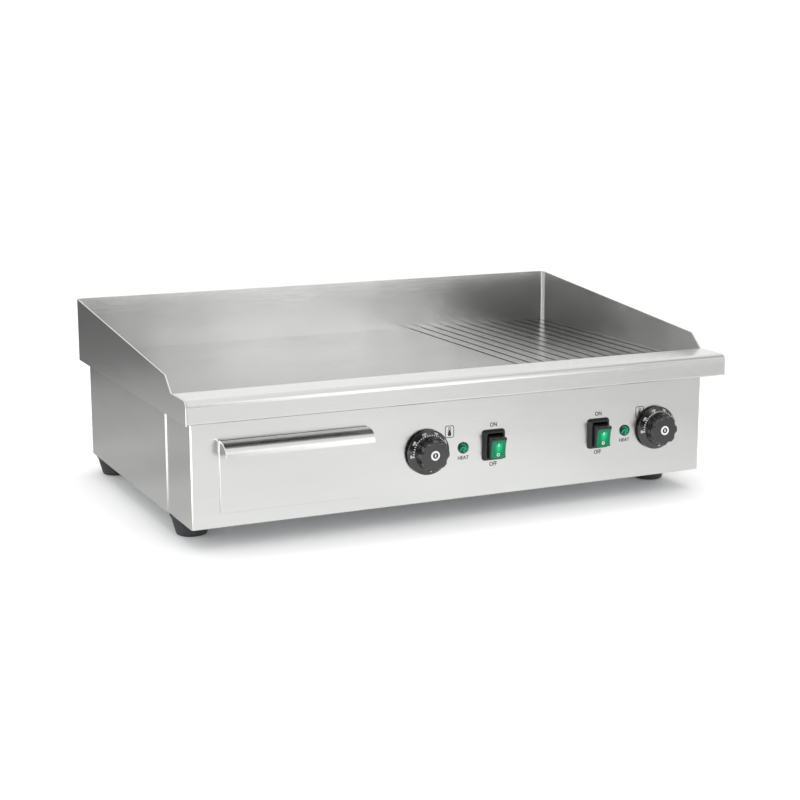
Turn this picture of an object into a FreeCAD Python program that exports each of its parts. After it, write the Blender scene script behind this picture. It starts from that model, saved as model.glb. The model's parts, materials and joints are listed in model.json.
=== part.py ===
"""Electric counter griddle with a half-grooved plate, two heating zones and a grease drawer.

The lower cabinet is a base tray, a rear casing and a front panel in folded stainless sheet on four rubber
feet. The hob stands on it: an 8 mm steel plate inside a wrap-round splash guard, a folded nose along the
front and a gutter between nose and plate that drains into the drawer. Under the plate are two tubular
heating elements with their clamp bars, and behind the panel two thermostats, two switches and two lamps.

Millimetres, +X to the right, +Y to the back, +Z up. Shapes are drawn with y = 0 on the nose's front face;
save() moves them so that the origin is the middle of the overall box, on the surface that the feet stand on.
"""
import FreeCAD, Part
import math
import os

from FreeCAD import Vector

# ---- driving dimensions -------------------------------------------------------------------------------
HOB_W = 730.0            # over the splash guard's sides
HOB_D = 475.0            # nose front to splash guard back
HOB_BASE_Z = 157.0       # underside of the hob's skirt, where it stands on the cabinet
NOSE_TOP_Z = 185.0       # flat top of the nose
GUARD_TOP_Z = 241.0      # top of the splash guard at the back
PLATE_TOP_Z = 167.0      # cooking surface
PLATE_T = 8.0
CABINET_BASE_Z = 26.0    # bottom edge of the cabinet's walls
CABINET_W = 704.0
PANEL_Y = 32.0           # front face of the control panel
CABINET_BACK_Y = 467.0
SEAM_Y = 122.0           # where the rear casing's sides begin
GUARD_T = 2.0            # splash guard sheet
NOSE_T = 1.5
SHEET_T = 1.2            # cabinet sheet
GROOVE_COUNT = 12
GROOVE_PITCH = 20.0
FIRST_GROOVE_X = 134.0
GROOVE_R = 1.6
KINK_Y, KINK_Z = 75.0, 203.0    # where the guard's long slope steepens down to the nose
DRAWER_W = 186.0
DRAWER_X = -223.0        # middle of the drawer
KNOB_X = {"left": -50.0, "right": 280.0}
LAMP_X = {"left": 0.0, "right": 234.0}
SWITCH_X = {"left": 42.0, "right": 194.0}
CONTROL_Z = 90.0         # the knobs, lamps and switches sit on this line
FOOT_X = 325.5
FOOT_Y = {"front": 112.0, "rear": 443.0}
GLAND_X, GLAND_Z = 300.0, 62.0
GLAND_OUT = 22.0         # how far the cable gland stands out of the cabinet's back
ROCKER_THROW = 16.0      # degrees between off and on

# ---- worked out from them -----------------------------------------------------------------------------
HALF_HOB = HOB_W / 2
HALF_CABINET = CABINET_W / 2
PANEL_HALF = HALF_CABINET - SHEET_T          # the panel's side returns slip inside the rear casing
PLATE_BASE_Z = PLATE_TOP_Z - PLATE_T
PANEL_BACK_Y = PANEL_Y + SHEET_T
FLOOR_Z = CABINET_BASE_Z + SHEET_T           # underside of the base tray, on the panel's bottom flange
TRAY_FLOOR_Z = FLOOR_Z + SHEET_T
OVERALL_D = CABINET_BACK_Y + GLAND_OUT
FRONT_Y = -OVERALL_D / 2                     # row-frame y of the nose's front face
NOSE_FLAT = 54.0                             # depth of the nose's flat top, to its rear bend
NOSE_BEND = 8.0                              # outside radius over the nose's front edge
PLATE_FRONT_Y = 84.0
GUTTER_BASE_Z = 148.5
GUTTER_HALF = 334.0                          # half the gutter's length
DRAIN_Y, DRAIN_R = 70.0, 10.5
SIDES = {"left": -1, "right": 1}
X, Y, Z = Vector(1, 0, 0), Vector(0, 1, 0), Vector(0, 0, 1)


# ---- drawing helpers ----------------------------------------------------------------------------------
def box(x0, x1, y0, y1, z0, z1):
    """Block between two opposite corners."""
    return Part.makeBox(x1 - x0, y1 - y0, z1 - z0, Vector(x0, y0, z0))


def rod(radius, start, end):
    """Cylinder from one point to another."""
    return Part.makeCylinder(radius, (end - start).Length, start, end - start)


def ring(outer, inner, start, end):
    """Cylinder with a round bore right through."""
    return rod(outer, start, end).cut(rod(inner, start, end))


def hexagon(across_flats, start, end):
    """Hexagonal bar from one point to another, with its flats square to the world's axes."""
    along = Vector(end - start).normalize()
    up = X if abs(along.dot(Z)) > 0.5 else Z
    arm = up * (across_flats / math.sqrt(3))
    turn = FreeCAD.Rotation(along, 60)
    corners = [start + arm]
    for _ in range(6):
        arm = turn.multVec(arm)
        corners.append(start + arm)
    return Part.Face(Part.makePolygon(corners)).extrude(end - start)


def bent_run(points, radii):
    """Edges of straight runs joined by tangent arcs, with one radius for each inner point."""
    edges, start = [], points[0]
    for before, corner, after, radius in zip(points, points[1:], points[2:], radii):
        back, on = (before - corner).normalize(), (after - corner).normalize()
        half = back.getAngle(on) / 2
        reach = radius / math.tan(half)
        centre = corner + (back + on).normalize() * (radius / math.sin(half))
        middle = centre + (corner - centre).normalize() * radius
        edges.append(Part.LineSegment(start, corner + back * reach).toShape())
        edges.append(Part.Arc(corner + back * reach, middle, corner + on * reach).toShape())
        start = corner + on * reach
    edges.append(Part.LineSegment(start, points[-1]).toShape())
    return edges


def folded_sheet(points, thickness, bends, sweep):
    """Sheet folded along the points and carried along sweep. It lies on the left of the run as seen with
    sweep pointing at the viewer. Bends are the inside radii, one for each inner point."""
    axis = Vector(sweep).normalize()
    runs = [(b - a).normalize() for a, b in zip(points, points[1:])]
    lefts = [axis.cross(run) for run in runs]
    left_line = [points[0] + lefts[0] * thickness]
    for corner, one, two in zip(points[1:], lefts, lefts[1:]):
        left_line.append(corner + (one + two) * (thickness / (1 + one.dot(two))))
    left_line.append(points[-1] + lefts[-1] * thickness)
    turns_left = [axis.dot(one.cross(two)) > 0 for one, two in zip(runs, runs[1:])]
    base_radii = [r + thickness if left else r for r, left in zip(bends, turns_left)]
    left_radii = [r if left else r + thickness for r, left in zip(bends, turns_left)]
    edges = bent_run(points, base_radii)
    edges.append(Part.LineSegment(points[-1], left_line[-1]).toShape())
    edges += bent_run(left_line[::-1], left_radii[::-1])
    edges.append(Part.LineSegment(left_line[0], points[0]).toShape())
    return Part.Face(Part.Wire(Part.__sortEdges__(edges))).extrude(sweep)


def tube(points, radius, bend):
    """Round bar along straight runs and arcs of one bend radius."""
    path = Part.Wire(bent_run(points, [bend] * (len(points) - 2)))
    section = Part.Wire(Part.Circle(points[0], points[1] - points[0], radius).toShape())
    return path.makePipeShell([section], True, False)


def turned(profile, centre):
    """Solid turned about a line along Y through centre, from a closed (radius, y) profile."""
    corners = [centre + Vector(radius, y, 0) for radius, y in profile]
    face = Part.Face(Part.makePolygon(corners + corners[:1]))
    return face.revolve(centre, Y, 360)


def rounded_block(x0, x1, y0, y1, z0, z1, radius):
    """Block whose four edges along Y are rounded."""
    block = box(x0, x1, y0, y1, z0, z1)
    edges = [e for e in block.Edges if abs(e.tangentAt(e.FirstParameter).dot(Y)) > 0.99]
    return block.makeFillet(radius, edges)


def edges_where(shape, test):
    """Edges whose middle and both ends pass a test on a point."""
    picked = []
    for edge in shape.Edges:
        middle = edge.valueAt((edge.FirstParameter + edge.LastParameter) / 2)
        if test(middle) and all(test(v.Point) for v in edge.Vertexes):
            picked.append(edge)
    return picked


def rear_corners(shape, beyond_y):
    """Upright edges that lie further back than a given depth."""
    return [e for e in shape.Edges if abs(e.tangentAt(e.FirstParameter).dot(Z)) > 0.99
            and e.Vertexes[0].Point.y > beyond_y]


def screw(head_r, head_h, shank_r, length, head, along):
    """Pan-head screw whose head's underside is at a point, with the shank running along a direction."""
    shank = rod(shank_r, head, head + along * length)
    cap = rod(head_r, head - along * head_h, head)
    rim = [e for e in cap.Edges if e.valueAt(e.FirstParameter).sub(head).dot(along) < -head_h / 2
           and e.Length > head_r]
    cap = cap.makeFillet(head_h * 0.45, rim)
    slot = box(-head_r, head_r, -0.5, 0.5, -0.4, 0.7)
    slot.Placement = FreeCAD.Placement(head - along * head_h, FreeCAD.Rotation(Z, along))
    return cap.cut(slot).fuse(shank)


def save(name, *solids):
    """Writes one node, moved into the row frame."""
    shape = solids[0] if len(solids) == 1 else Part.makeCompound(list(solids))
    shape = shape.copy()
    shape.translate(Vector(0, FRONT_Y, 0))
    for solid in shape.Solids:
        if not solid.isValid() or solid.Volume <= 0:
            raise ValueError(f"{name} has a bad solid")
    shape.exportStep(f"parts/{name}.step")
    print(f"{name:28s} {len(shape.Solids):3d} solids {shape.Volume / 1000:9.2f} cm3")


# ---- the hob ------------------------------------------------------------------------------------------
HOB_SCREW_PLACES = ([Vector(s * 342.0, y, 0) for s in (-1, 1) for y in (150.0, 300.0, 425.0)]
                    + [Vector(x, 456.0, 0) for x in (-200.0, 0.0, 200.0)])
NOSE_SCREW_PLACES = [Vector(x, 42.0, 0) for x in (-335.0, -110.0, 118.0, 335.0)]
HOB_SCREW_R = 2.5


def screw_holes(places, radius, z0, z1):
    """Upright round holes for a set of screws."""
    return [rod(radius, Vector(p.x, p.y, z0), Vector(p.x, p.y, z1)) for p in places]


def splash_guard():
    """One sheet bent round the sides and back, cut to the sloping side profile, with an inward foot."""
    corners = [Vector(HALF_HOB, 0, HOB_BASE_Z), Vector(HALF_HOB, HOB_D, HOB_BASE_Z),
               Vector(-HALF_HOB, HOB_D, HOB_BASE_Z), Vector(-HALF_HOB, 0, HOB_BASE_Z)]
    wall = folded_sheet(corners, GUARD_T, [5.0, 5.0], Z * (GUARD_TOP_Z - HOB_BASE_Z))
    reach = HALF_HOB + 10
    slope = [Vector(-reach, 0, HOB_BASE_Z - 5), Vector(-reach, 0, NOSE_TOP_Z),
             Vector(-reach, NOSE_FLAT, NOSE_TOP_Z), Vector(-reach, KINK_Y, KINK_Z),
             Vector(-reach, HOB_D, GUARD_TOP_Z)]
    edges = bent_run(slope, [NOSE_BEND, 2.0, 3.0])
    above = [slope[-1], Vector(-reach, HOB_D, GUARD_TOP_Z + 10), Vector(-reach, -10, GUARD_TOP_Z + 10),
             Vector(-reach, -10, HOB_BASE_Z - 5), slope[0]]
    edges += Part.makePolygon(above).Edges
    waste = Part.Face(Part.Wire(Part.__sortEdges__(edges))).extrude(X * (2 * reach))
    wall = wall.cut(waste)
    rims = [e for e in wall.Edges if e.Length > 6 and is_top_rim(e)]
    wall = wall.makeFillet(0.6, rims)
    inner = HALF_HOB - GUARD_T
    foot = box(-inner, inner, NOSE_FLAT - 2, HOB_D - GUARD_T, HOB_BASE_Z, HOB_BASE_Z + GUARD_T)
    foot = foot.makeFillet(5.0, rear_corners(foot, HOB_D - 10))
    foot = foot.cut(box(-335, 335, 0, 445, HOB_BASE_Z - 1, HOB_BASE_Z + GUARD_T + 1))
    guard = wall.fuse(foot)
    holes = screw_holes(HOB_SCREW_PLACES, HOB_SCREW_R + 0.1, HOB_BASE_Z - 1, HOB_BASE_Z + GUARD_T + 1)
    return guard.cut(Part.makeCompound(holes))


def is_top_rim(edge):
    """True for the long edges of the guard's cut top, on both faces of the sheet."""
    middle = edge.valueAt((edge.FirstParameter + edge.LastParameter) / 2)
    along = edge.tangentAt((edge.FirstParameter + edge.LastParameter) / 2)
    return middle.z > NOSE_TOP_Z - 1 and middle.y > 5 and abs(along.z) < 0.95 and edge.Length > 6


def front_nose():
    """Folded sheet across the front: bottom flange, front face, flat top and a short leg at the back."""
    inner = HALF_HOB - GUARD_T
    points = [Vector(inner, 50, HOB_BASE_Z), Vector(inner, 0, HOB_BASE_Z), Vector(inner, 0, NOSE_TOP_Z),
              Vector(inner, NOSE_FLAT, NOSE_TOP_Z), Vector(inner, NOSE_FLAT, 161.0)]
    nose = folded_sheet(points, NOSE_T, [1.5, NOSE_BEND - NOSE_T, 1.5], X * (-2 * inner))
    holes = screw_holes(NOSE_SCREW_PLACES, HOB_SCREW_R + 0.1, HOB_BASE_Z - 1, HOB_BASE_Z + NOSE_T + 1)
    return nose.cut(Part.makeCompound(holes))


def grease_gutter():
    """Channel between the nose's rear leg and the plate's front edge, closed at both ends, with its drain."""
    rear = PLATE_FRONT_Y + 3.5
    points = [Vector(-GUTTER_HALF, NOSE_FLAT, 164), Vector(-GUTTER_HALF, NOSE_FLAT, GUTTER_BASE_Z),
              Vector(-GUTTER_HALF, rear, GUTTER_BASE_Z), Vector(-GUTTER_HALF, rear, PLATE_BASE_Z)]
    channel = folded_sheet(points, SHEET_T, [3.0, 3.0], X * (2 * GUTTER_HALF))
    lip = SHEET_T / 2
    inside = [box(x - lip, x + lip, NOSE_FLAT + lip, rear - lip, GUTTER_BASE_Z + lip, PLATE_BASE_Z)
              for x in (-GUTTER_HALF + lip, GUTTER_HALF - lip)]
    trough = channel.fuse([end.makeFillet(3.0, edges_where(end, lambda p: p.z < GUTTER_BASE_Z + lip + 0.01
                                                           and not NOSE_FLAT + 1 < p.y < rear - 1))
                           for end in inside])
    drain = Vector(DRAWER_X, DRAIN_Y, GUTTER_BASE_Z - 1)
    return trough.cut(rod(DRAIN_R, drain, drain + Z * 6))


def drain_spout():
    """Short pipe under the gutter's drain hole, with a rolled collar at the top."""
    top = Vector(DRAWER_X, DRAIN_Y, GUTTER_BASE_Z)
    pipe = ring(DRAIN_R + SHEET_T, DRAIN_R, top - Z * 31.5, top)
    collar = ring(DRAIN_R + 4.5, DRAIN_R, top - Z * 1.5, top)
    return pipe.fuse(collar)


def griddle_plate():
    """Steel plate with rounded rear corners; the right third is grooved from the back to the gutter."""
    inner = HALF_HOB - GUARD_T
    plate = box(-inner, inner, PLATE_FRONT_Y, HOB_D - GUARD_T, PLATE_BASE_Z, PLATE_TOP_Z)
    corners = [e for e in plate.Edges if abs(e.tangentAt(0).dot(Z)) > 0.99
               and e.Vertexes[0].Point.y > HOB_D - 10]
    plate = plate.makeFillet(5.0, corners)
    front_top = edges_where(plate, lambda p: abs(p.y - PLATE_FRONT_Y) < 0.01 and p.z > PLATE_TOP_Z - 0.01)
    plate = plate.makeFillet(1.5, front_top)
    rear_end = HOB_D - GUARD_T - 3.0 - GROOVE_R
    low = PLATE_TOP_Z - 3.0 + GROOVE_R
    cuts = []
    for i in range(GROOVE_COUNT):
        x = FIRST_GROOVE_X + GROOVE_PITCH * i
        start, end = Vector(x, PLATE_FRONT_Y - 5, low), Vector(x, rear_end, low)
        slot = box(x - GROOVE_R, x + GROOVE_R, start.y, rear_end, low, PLATE_TOP_Z + 1)
        run_out = rod(GROOVE_R, end, end + Z * (PLATE_TOP_Z + 1 - low))
        cuts.append(slot.fuse([rod(GROOVE_R, start, end), run_out, Part.makeSphere(GROOVE_R, end)]))
    return plate.cut(Part.makeCompound(cuts))


# ---- heating, under the plate -------------------------------------------------------------------------
ELEMENT_R = 4.25
ELEMENT_Z = PLATE_BASE_Z - ELEMENT_R
ELEMENT_RUNS = [45.0, 135.0, 225.0, 315.0]   # distance of the four runs from the griddle's middle
TERMINAL_Y, TERMINAL_Z = 118.0, 122.0
CLAMP_Y = [205.0, 365.0]
STUD_X = [90.0, 270.0]
CLAMP_T = 3.0
BULB_X, BULB_R = 180.0, 3.0


def heating_element(side):
    """Tube bent into four runs under one zone, with both cold ends turned down at the front."""
    s = SIDES[side]
    front, back, turn = 140.0, 440.0, 44.0
    xs = [s * x for x in ELEMENT_RUNS]
    points = [Vector(xs[0], TERMINAL_Y, TERMINAL_Z), Vector(xs[0], TERMINAL_Y, ELEMENT_Z)]
    for i in range(0, len(xs), 2):
        points += [Vector(xs[i], back, ELEMENT_Z), Vector(xs[i + 1], back, ELEMENT_Z)]
        if i + 2 < len(xs):
            points += [Vector(xs[i + 1], front, ELEMENT_Z), Vector(xs[i + 2], front, ELEMENT_Z)]
    points += [Vector(xs[-1], TERMINAL_Y, ELEMENT_Z), Vector(xs[-1], TERMINAL_Y, TERMINAL_Z)]
    radii = [12.0] + [turn] * (len(points) - 4) + [12.0]
    path = Part.Wire(bent_run(points, radii))
    section = Part.Wire(Part.Circle(points[0], Z, ELEMENT_R).toShape())
    return path.makePipeShell([section], True, False)


def clamp_parts():
    """Clamp bars across the runs, the studs welded under the plate and their nuts, for both zones."""
    bars, studs, nuts = [], [], []
    top = ELEMENT_Z - ELEMENT_R
    for s in SIDES.values():
        for y in CLAMP_Y:
            near, far = sorted((s * 25.0, s * 335.0))
            bar = box(near, far, y - 10, y + 10, top - CLAMP_T, top)
            for x in STUD_X:
                foot = Vector(s * x, y, PLATE_BASE_Z)
                bar = bar.cut(rod(3.3, foot, foot - Z * 20))
                studs.append(rod(3.0, foot - Z * 20, foot))
                nut_top = Vector(s * x, y, top - CLAMP_T)
                nut = hexagon(10.0, nut_top - Z * 5, nut_top)
                nuts.append(nut.cut(rod(3.0, nut_top - Z * 6, nut_top + Z)))
            bars.append(bar)
    return bars, studs, nuts


def heat_shield():
    """Galvanised sheet between the elements and the wiring, with its edges turned up at the sides."""
    half = HALF_CABINET - SHEET_T
    points = [Vector(half, 140, 131), Vector(half, 140, 118), Vector(-half, 140, 118),
              Vector(-half, 140, 131)]
    return folded_sheet(points, 1.0, [2.0, 2.0], Y * 315)


def capillary(side):
    """Thermostat's sensing bulb against the plate, and its thin tube down to the thermostat's back."""
    s = SIDES[side]
    x, knob_x = s * BULB_X, KNOB_X[side]
    z = PLATE_BASE_Z - BULB_R
    bulb = rod(BULB_R, Vector(x, 240, z), Vector(x, 330, z))
    rim = [e for e in bulb.Edges if e.Length > BULB_R and len(e.Vertexes) == 1]
    bulb = bulb.makeFillet(1.2, rim)
    points = [Vector(x, 241, z), Vector(x, 226, z), Vector(x, 226, 135), Vector(x, 105, 135),
              Vector(knob_x, 105, 135), Vector(knob_x, 105, 96), Vector(knob_x, THERMOSTAT_BACK_Y, 96)]
    return bulb.fuse(tube(points, 1.0, 7.0))


def bulb_clips():
    """Spring-steel strips that hold each bulb up against the plate."""
    clips = []
    for s in SIDES.values():
        for y in (262.0, 308.0):
            x, low = s * BULB_X, PLATE_BASE_Z - 2 * BULB_R
            points = [Vector(x - 16, y - 5, PLATE_BASE_Z - 0.8), Vector(x - 6, y - 5, PLATE_BASE_Z - 0.8),
                      Vector(x - 3.2, y - 5, low - 0.8), Vector(x + 3.2, y - 5, low - 0.8),
                      Vector(x + 6, y - 5, PLATE_BASE_Z - 0.8), Vector(x + 16, y - 5, PLATE_BASE_Z - 0.8)]
            clips.append(folded_sheet(points[::-1], 0.8, [0.6] * 4, Y * 10))
    return clips


# ---- the cabinet --------------------------------------------------------------------------------------
PANEL_SCREW_PLACES = [Vector(x, 42.0, 0) for x in (-300.0, -90.0, 120.0, 320.0)]
DRAWER_MOUTH = (DRAWER_X - 88.5, DRAWER_X + 88.5, 48.0, 124.0)    # x0, x1, z0, z1
SWITCH_W, SWITCH_H = 23.6, 31.6              # the switch housing that passes through the panel
VENT_COUNT, VENT_PITCH = 10, 12.0


def foot_centres():
    """Middle of each foot, by name."""
    return {f"{end}_{side}": Vector(s * FOOT_X, y, 0)
            for end, y in FOOT_Y.items() for side, s in SIDES.items()}


def base_tray():
    """Bottom sheet with its four edges turned up inside the walls, and holes for the foot bolts."""
    half, front, back = PANEL_HALF - SHEET_T, PANEL_BACK_Y + 1.0, CABINET_BACK_Y - SHEET_T
    outer = box(-half, half, front, back, FLOOR_Z, FLOOR_Z + 15)
    outer = outer.makeFillet(2.0, [e for e in outer.Edges if e.BoundBox.ZMin < FLOOR_Z + 0.01])
    inner = box(-half + SHEET_T, half - SHEET_T, front + SHEET_T, back - SHEET_T, TRAY_FLOOR_Z, FLOOR_Z + 20)
    tray = outer.cut(inner)
    cuts = screw_holes(foot_centres().values(), 3.2, 0, 60)
    cuts += screw_holes(PANEL_SCREW_PLACES, 2.1, 0, 60)
    for row_y in (200.0, 330.0):
        cuts += [box(x - 2, x + 2, row_y, row_y + 45, 0, 60) for x in range(-60, 181, 12)]
    return tray.cut(Part.makeCompound(cuts))


def rear_casing():
    """Sides and back in one bent sheet with a flange along the top, vents and the cable gland's hole."""
    corners = [Vector(HALF_CABINET, SEAM_Y, CABINET_BASE_Z),
               Vector(HALF_CABINET, CABINET_BACK_Y, CABINET_BASE_Z),
               Vector(-HALF_CABINET, CABINET_BACK_Y, CABINET_BASE_Z),
               Vector(-HALF_CABINET, SEAM_Y, CABINET_BASE_Z)]
    wall = folded_sheet(corners, SHEET_T, [1.8, 1.8], Z * (HOB_BASE_Z - CABINET_BASE_Z))
    half, back = HALF_CABINET - SHEET_T, CABINET_BACK_Y - SHEET_T
    flange = box(-half, half, SEAM_Y + 17, back, HOB_BASE_Z - SHEET_T, HOB_BASE_Z)
    corner_r = [e for e in flange.Edges if abs(e.tangentAt(0).dot(Z)) > 0.99
                and e.Vertexes[0].Point.y > back - 1]
    flange = flange.makeFillet(1.8, corner_r)
    flange = flange.cut(box(-332, 332, 0, 447, 0, HOB_BASE_Z + 1))
    casing = wall.fuse(flange).removeSplitter()
    cuts = screw_holes(HOB_SCREW_PLACES, HOB_SCREW_R + 0.1, HOB_BASE_Z - 5, HOB_BASE_Z + 5)
    gland = Vector(GLAND_X, CABINET_BACK_Y, GLAND_Z)
    cuts.append(rod(10.2, gland - Y * 10, gland + Y * 10))
    for middle in (-170.0, 120.0):
        for i in range(VENT_COUNT):
            x = middle + VENT_PITCH * (i - (VENT_COUNT - 1) / 2)
            cuts.append(rounded_block(x - 2, x + 2, back - 5, back + 8, 70, 115, 1.9))
    return casing.cut(Part.makeCompound(cuts))


def front_panel():
    """Control panel with side returns and two flanges, cut for the drawer and the controls."""
    corners = [Vector(-PANEL_HALF, SEAM_Y + 15, CABINET_BASE_Z), Vector(-PANEL_HALF, PANEL_Y, CABINET_BASE_Z),
               Vector(PANEL_HALF, PANEL_Y, CABINET_BASE_Z), Vector(PANEL_HALF, SEAM_Y + 15, CABINET_BASE_Z)]
    wall = folded_sheet(corners, SHEET_T, [1.8, 1.8], Z * (HOB_BASE_Z - CABINET_BASE_Z))
    half = PANEL_HALF - SHEET_T
    flanges = []
    for z0 in (CABINET_BASE_Z, HOB_BASE_Z - SHEET_T):
        strip = box(-half, half, PANEL_BACK_Y, 50, z0, z0 + SHEET_T)
        front = [e for e in strip.Edges if abs(e.tangentAt(0).dot(Z)) > 0.99
                 and e.Vertexes[0].Point.y < PANEL_BACK_Y + 1]
        flanges.append(strip.makeFillet(1.8, front))
    panel = wall.fuse(flanges).removeSplitter()
    lower_front = edges_where(panel, lambda p: abs(p.z - CABINET_BASE_Z) < 0.01 and p.y < PANEL_Y + 0.01)
    panel = panel.makeFillet(0.9, [e for e in lower_front if e.Length > 100])
    x0, x1, z0, z1 = DRAWER_MOUTH
    cuts = [rounded_block(x0, x1, PANEL_Y - 5, PANEL_BACK_Y + 5, z0, z1, 2.0)]
    for side in SIDES:
        knob, lamp = Vector(KNOB_X[side], PANEL_Y - 5, CONTROL_Z), Vector(LAMP_X[side], PANEL_Y - 5, CONTROL_Z)
        cuts.append(rod(5.5, knob, knob + Y * 10))
        cuts += [rod(2.1, knob + X * dx, knob + X * dx + Y * 10) for dx in (-14, 14)]
        cuts.append(rod(5.1, lamp, lamp + Y * 10))
        w, h = SWITCH_W / 2 + 0.1, SWITCH_H / 2 + 0.1
        cuts.append(box(SWITCH_X[side] - w, SWITCH_X[side] + w, PANEL_Y - 5, PANEL_Y + 5,
                        CONTROL_Z - h, CONTROL_Z + h))
    cuts += screw_holes(PANEL_SCREW_PLACES, 2.1, 0, 60)
    cuts += screw_holes(NOSE_SCREW_PLACES, HOB_SCREW_R + 0.1, HOB_BASE_Z - 5, HOB_BASE_Z + 5)
    return panel.cut(Part.makeCompound(cuts))


def foot(centre):
    """Rubber foot: a cone, wider at the top, with a rounded tread, a deep recess for its bolt, and a low
    spigot that stands inside the cabinet's walls."""
    cone = Part.makeCone(19.0, 26.0, CABINET_BASE_Z, centre, Z)
    rims = [e for e in cone.Edges if len(e.Vertexes) == 1 and e.Vertexes[0].Z < 1]
    cone = cone.makeFillet(3.0, rims)
    spigot = rod(22.0, centre + Z * (CABINET_BASE_Z - 1), centre + Z * FLOOR_Z)
    return cone.fuse(spigot).cut([rod(8.0, centre - Z, centre + Z * 16), rod(3.1, centre, centre + Z * 40)])


def foot_bolt(centre):
    """Hexagon-head bolt up through the foot and the base tray."""
    seat = centre + Z * 16
    return hexagon(10.0, seat - Z * 4, seat).fuse(rod(3.0, seat, centre + Z * 38))


def foot_nut(centre):
    """Nut on top of the base tray."""
    seat = centre + Z * TRAY_FLOOR_Z
    return hexagon(10.0, seat, seat + Z * 5).cut(rod(3.0, seat - Z, seat + Z * 6))


# ---- the drawer and its guide -------------------------------------------------------------------------
TRAY_X0, TRAY_X1 = DRAWER_X - 86.5, DRAWER_X + 86.5
TRAY_Z0, TRAY_Z1 = 50.0, 112.0
TRAY_BACK_Y = 262.0
DRAWER_FACE_Y = 30.2
DRAWER_FACE_T = 1.5
FACE_Z0, FACE_Z1 = 43.0, 131.0
HANDLE_TOP_Z = 131.0
HANDLE_T = 1.5
LIP_Y, LIP_Z = 5.5, 105.3                    # lower edge of the handle's lip
RIVET_PLACES = [Vector(DRAWER_X + dx, DRAWER_FACE_Y, 119.0) for dx in (-70.0, 0.0, 70.0)]


def drawer_guide():
    """Channel that the grease drawer slides in, with an end stop and two legs down to the base tray."""
    x0, x1, z0 = TRAY_X0 - 2.3, TRAY_X1 + 2.3, TRAY_Z0 - 1.6
    points = [Vector(x1, PANEL_BACK_Y, 72), Vector(x1, PANEL_BACK_Y, z0), Vector(x0, PANEL_BACK_Y, z0),
              Vector(x0, PANEL_BACK_Y, 72)]
    channel = folded_sheet(points, SHEET_T, [1.5, 1.5], Y * 243)
    end = PANEL_BACK_Y + 243
    stop = box(x0 + 3, x1 - 3, end - SHEET_T, end, z0 + 0.2, 72)
    legs = []
    for y in (150.0, 250.0):
        leg = [Vector(x0 + 5, y, z0), Vector(x0 + 5, y, TRAY_FLOOR_Z), Vector(x0 + 5, y + 15, TRAY_FLOOR_Z)]
        legs.append(folded_sheet(leg, SHEET_T, [1.5], X * (x1 - x0 - 10)))
    return channel.fuse([stop] + legs)


def drawer_tray():
    """Open-topped grease box in thin sheet."""
    outer = box(TRAY_X0, TRAY_X1, DRAWER_FACE_Y + DRAWER_FACE_T, TRAY_BACK_Y, TRAY_Z0, TRAY_Z1)
    soft = edges_where(outer, lambda p: p.z < TRAY_Z0 + 0.01)
    upright = [e for e in outer.Edges if abs(e.tangentAt(0).dot(Z)) > 0.99]
    outer = outer.makeFillet(2.5, soft + upright)
    t, front = SHEET_T, DRAWER_FACE_Y + DRAWER_FACE_T
    inner = box(TRAY_X0 + t, TRAY_X1 - t, front + t, TRAY_BACK_Y - t, TRAY_Z0 + t, TRAY_Z1 + 5)
    soft = edges_where(inner, lambda p: p.z < TRAY_Z0 + t + 0.01)
    upright = [e for e in inner.Edges if abs(e.tangentAt(0).dot(Z)) > 0.99]
    return outer.cut(inner.makeFillet(1.3, soft + upright))


def drawer_front():
    """Flat face plate that overlaps the panel round the drawer's mouth."""
    half = DRAWER_W / 2
    plate = rounded_block(DRAWER_X - half, DRAWER_X + half, DRAWER_FACE_Y, DRAWER_FACE_Y + DRAWER_FACE_T,
                          FACE_Z0, FACE_Z1, 1.5)
    face = edges_where(plate, lambda p: p.y < DRAWER_FACE_Y + 0.01)
    plate = plate.makeFillet(0.5, face)
    return plate.cut([rod(1.7, p - Y * 5, p + Y * 5) for p in RIVET_PLACES])


def drawer_handle():
    """Full-width sheet pull: a flange on the face plate, a top that rounds over into the lip, and rounded
    lower corners."""
    half = DRAWER_W / 2
    x = DRAWER_X - half
    points = [Vector(x, DRAWER_FACE_Y, 113.5), Vector(x, DRAWER_FACE_Y, HANDLE_TOP_Z),
              Vector(x, LIP_Y + 0.8, HANDLE_TOP_Z - 4.2), Vector(x, LIP_Y, LIP_Z)]
    pull = folded_sheet(points, HANDLE_T, [2.5, 14.0], X * DRAWER_W)
    front = box(x, x + DRAWER_W, 0, 24, LIP_Z, HANDLE_TOP_Z + 5)
    corners = [e for e in front.Edges if abs(e.tangentAt(0).dot(Y)) > 0.99
               and e.Vertexes[0].Z < LIP_Z + 1]
    outline = front.makeFillet(9.0, corners).fuse(box(x, x + DRAWER_W, 23, 40, 100, HANDLE_TOP_Z + 5))
    return pull.common(outline).cut([rod(1.7, p - Y * 5, p + Y * 5) for p in RIVET_PLACES])


def handle_rivets():
    """Rivets through the handle's flange and the face plate."""
    rivets = []
    for p in RIVET_PLACES:
        shank = rod(1.6, p - Y * HANDLE_T, p + Y * DRAWER_FACE_T)
        head = Part.makeSphere(3.6, p + Y * 0.7).common(rod(3.2, p - Y * 3.0, p - Y * HANDLE_T))
        tail = rod(2.6, p + Y * DRAWER_FACE_T, p + Y * (DRAWER_FACE_T + 1.2))
        rivets.append(shank.fuse([head, tail]))
    return rivets


# ---- controls -----------------------------------------------------------------------------------------
THERMOSTAT_BACK_Y = 66.0
SHAFT_R = 3.0
KNOB_R = 28.0
KNOB_BACK_Y, KNOB_FACE_Y = 28.5, 7.3
GRIP_R = 20.2
FLUTE_COUNT = 8
PIVOT_Y = 34.0
ROCKER_HALF_W = 10.5
BOOT_FACE_Y = 26.0


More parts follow.
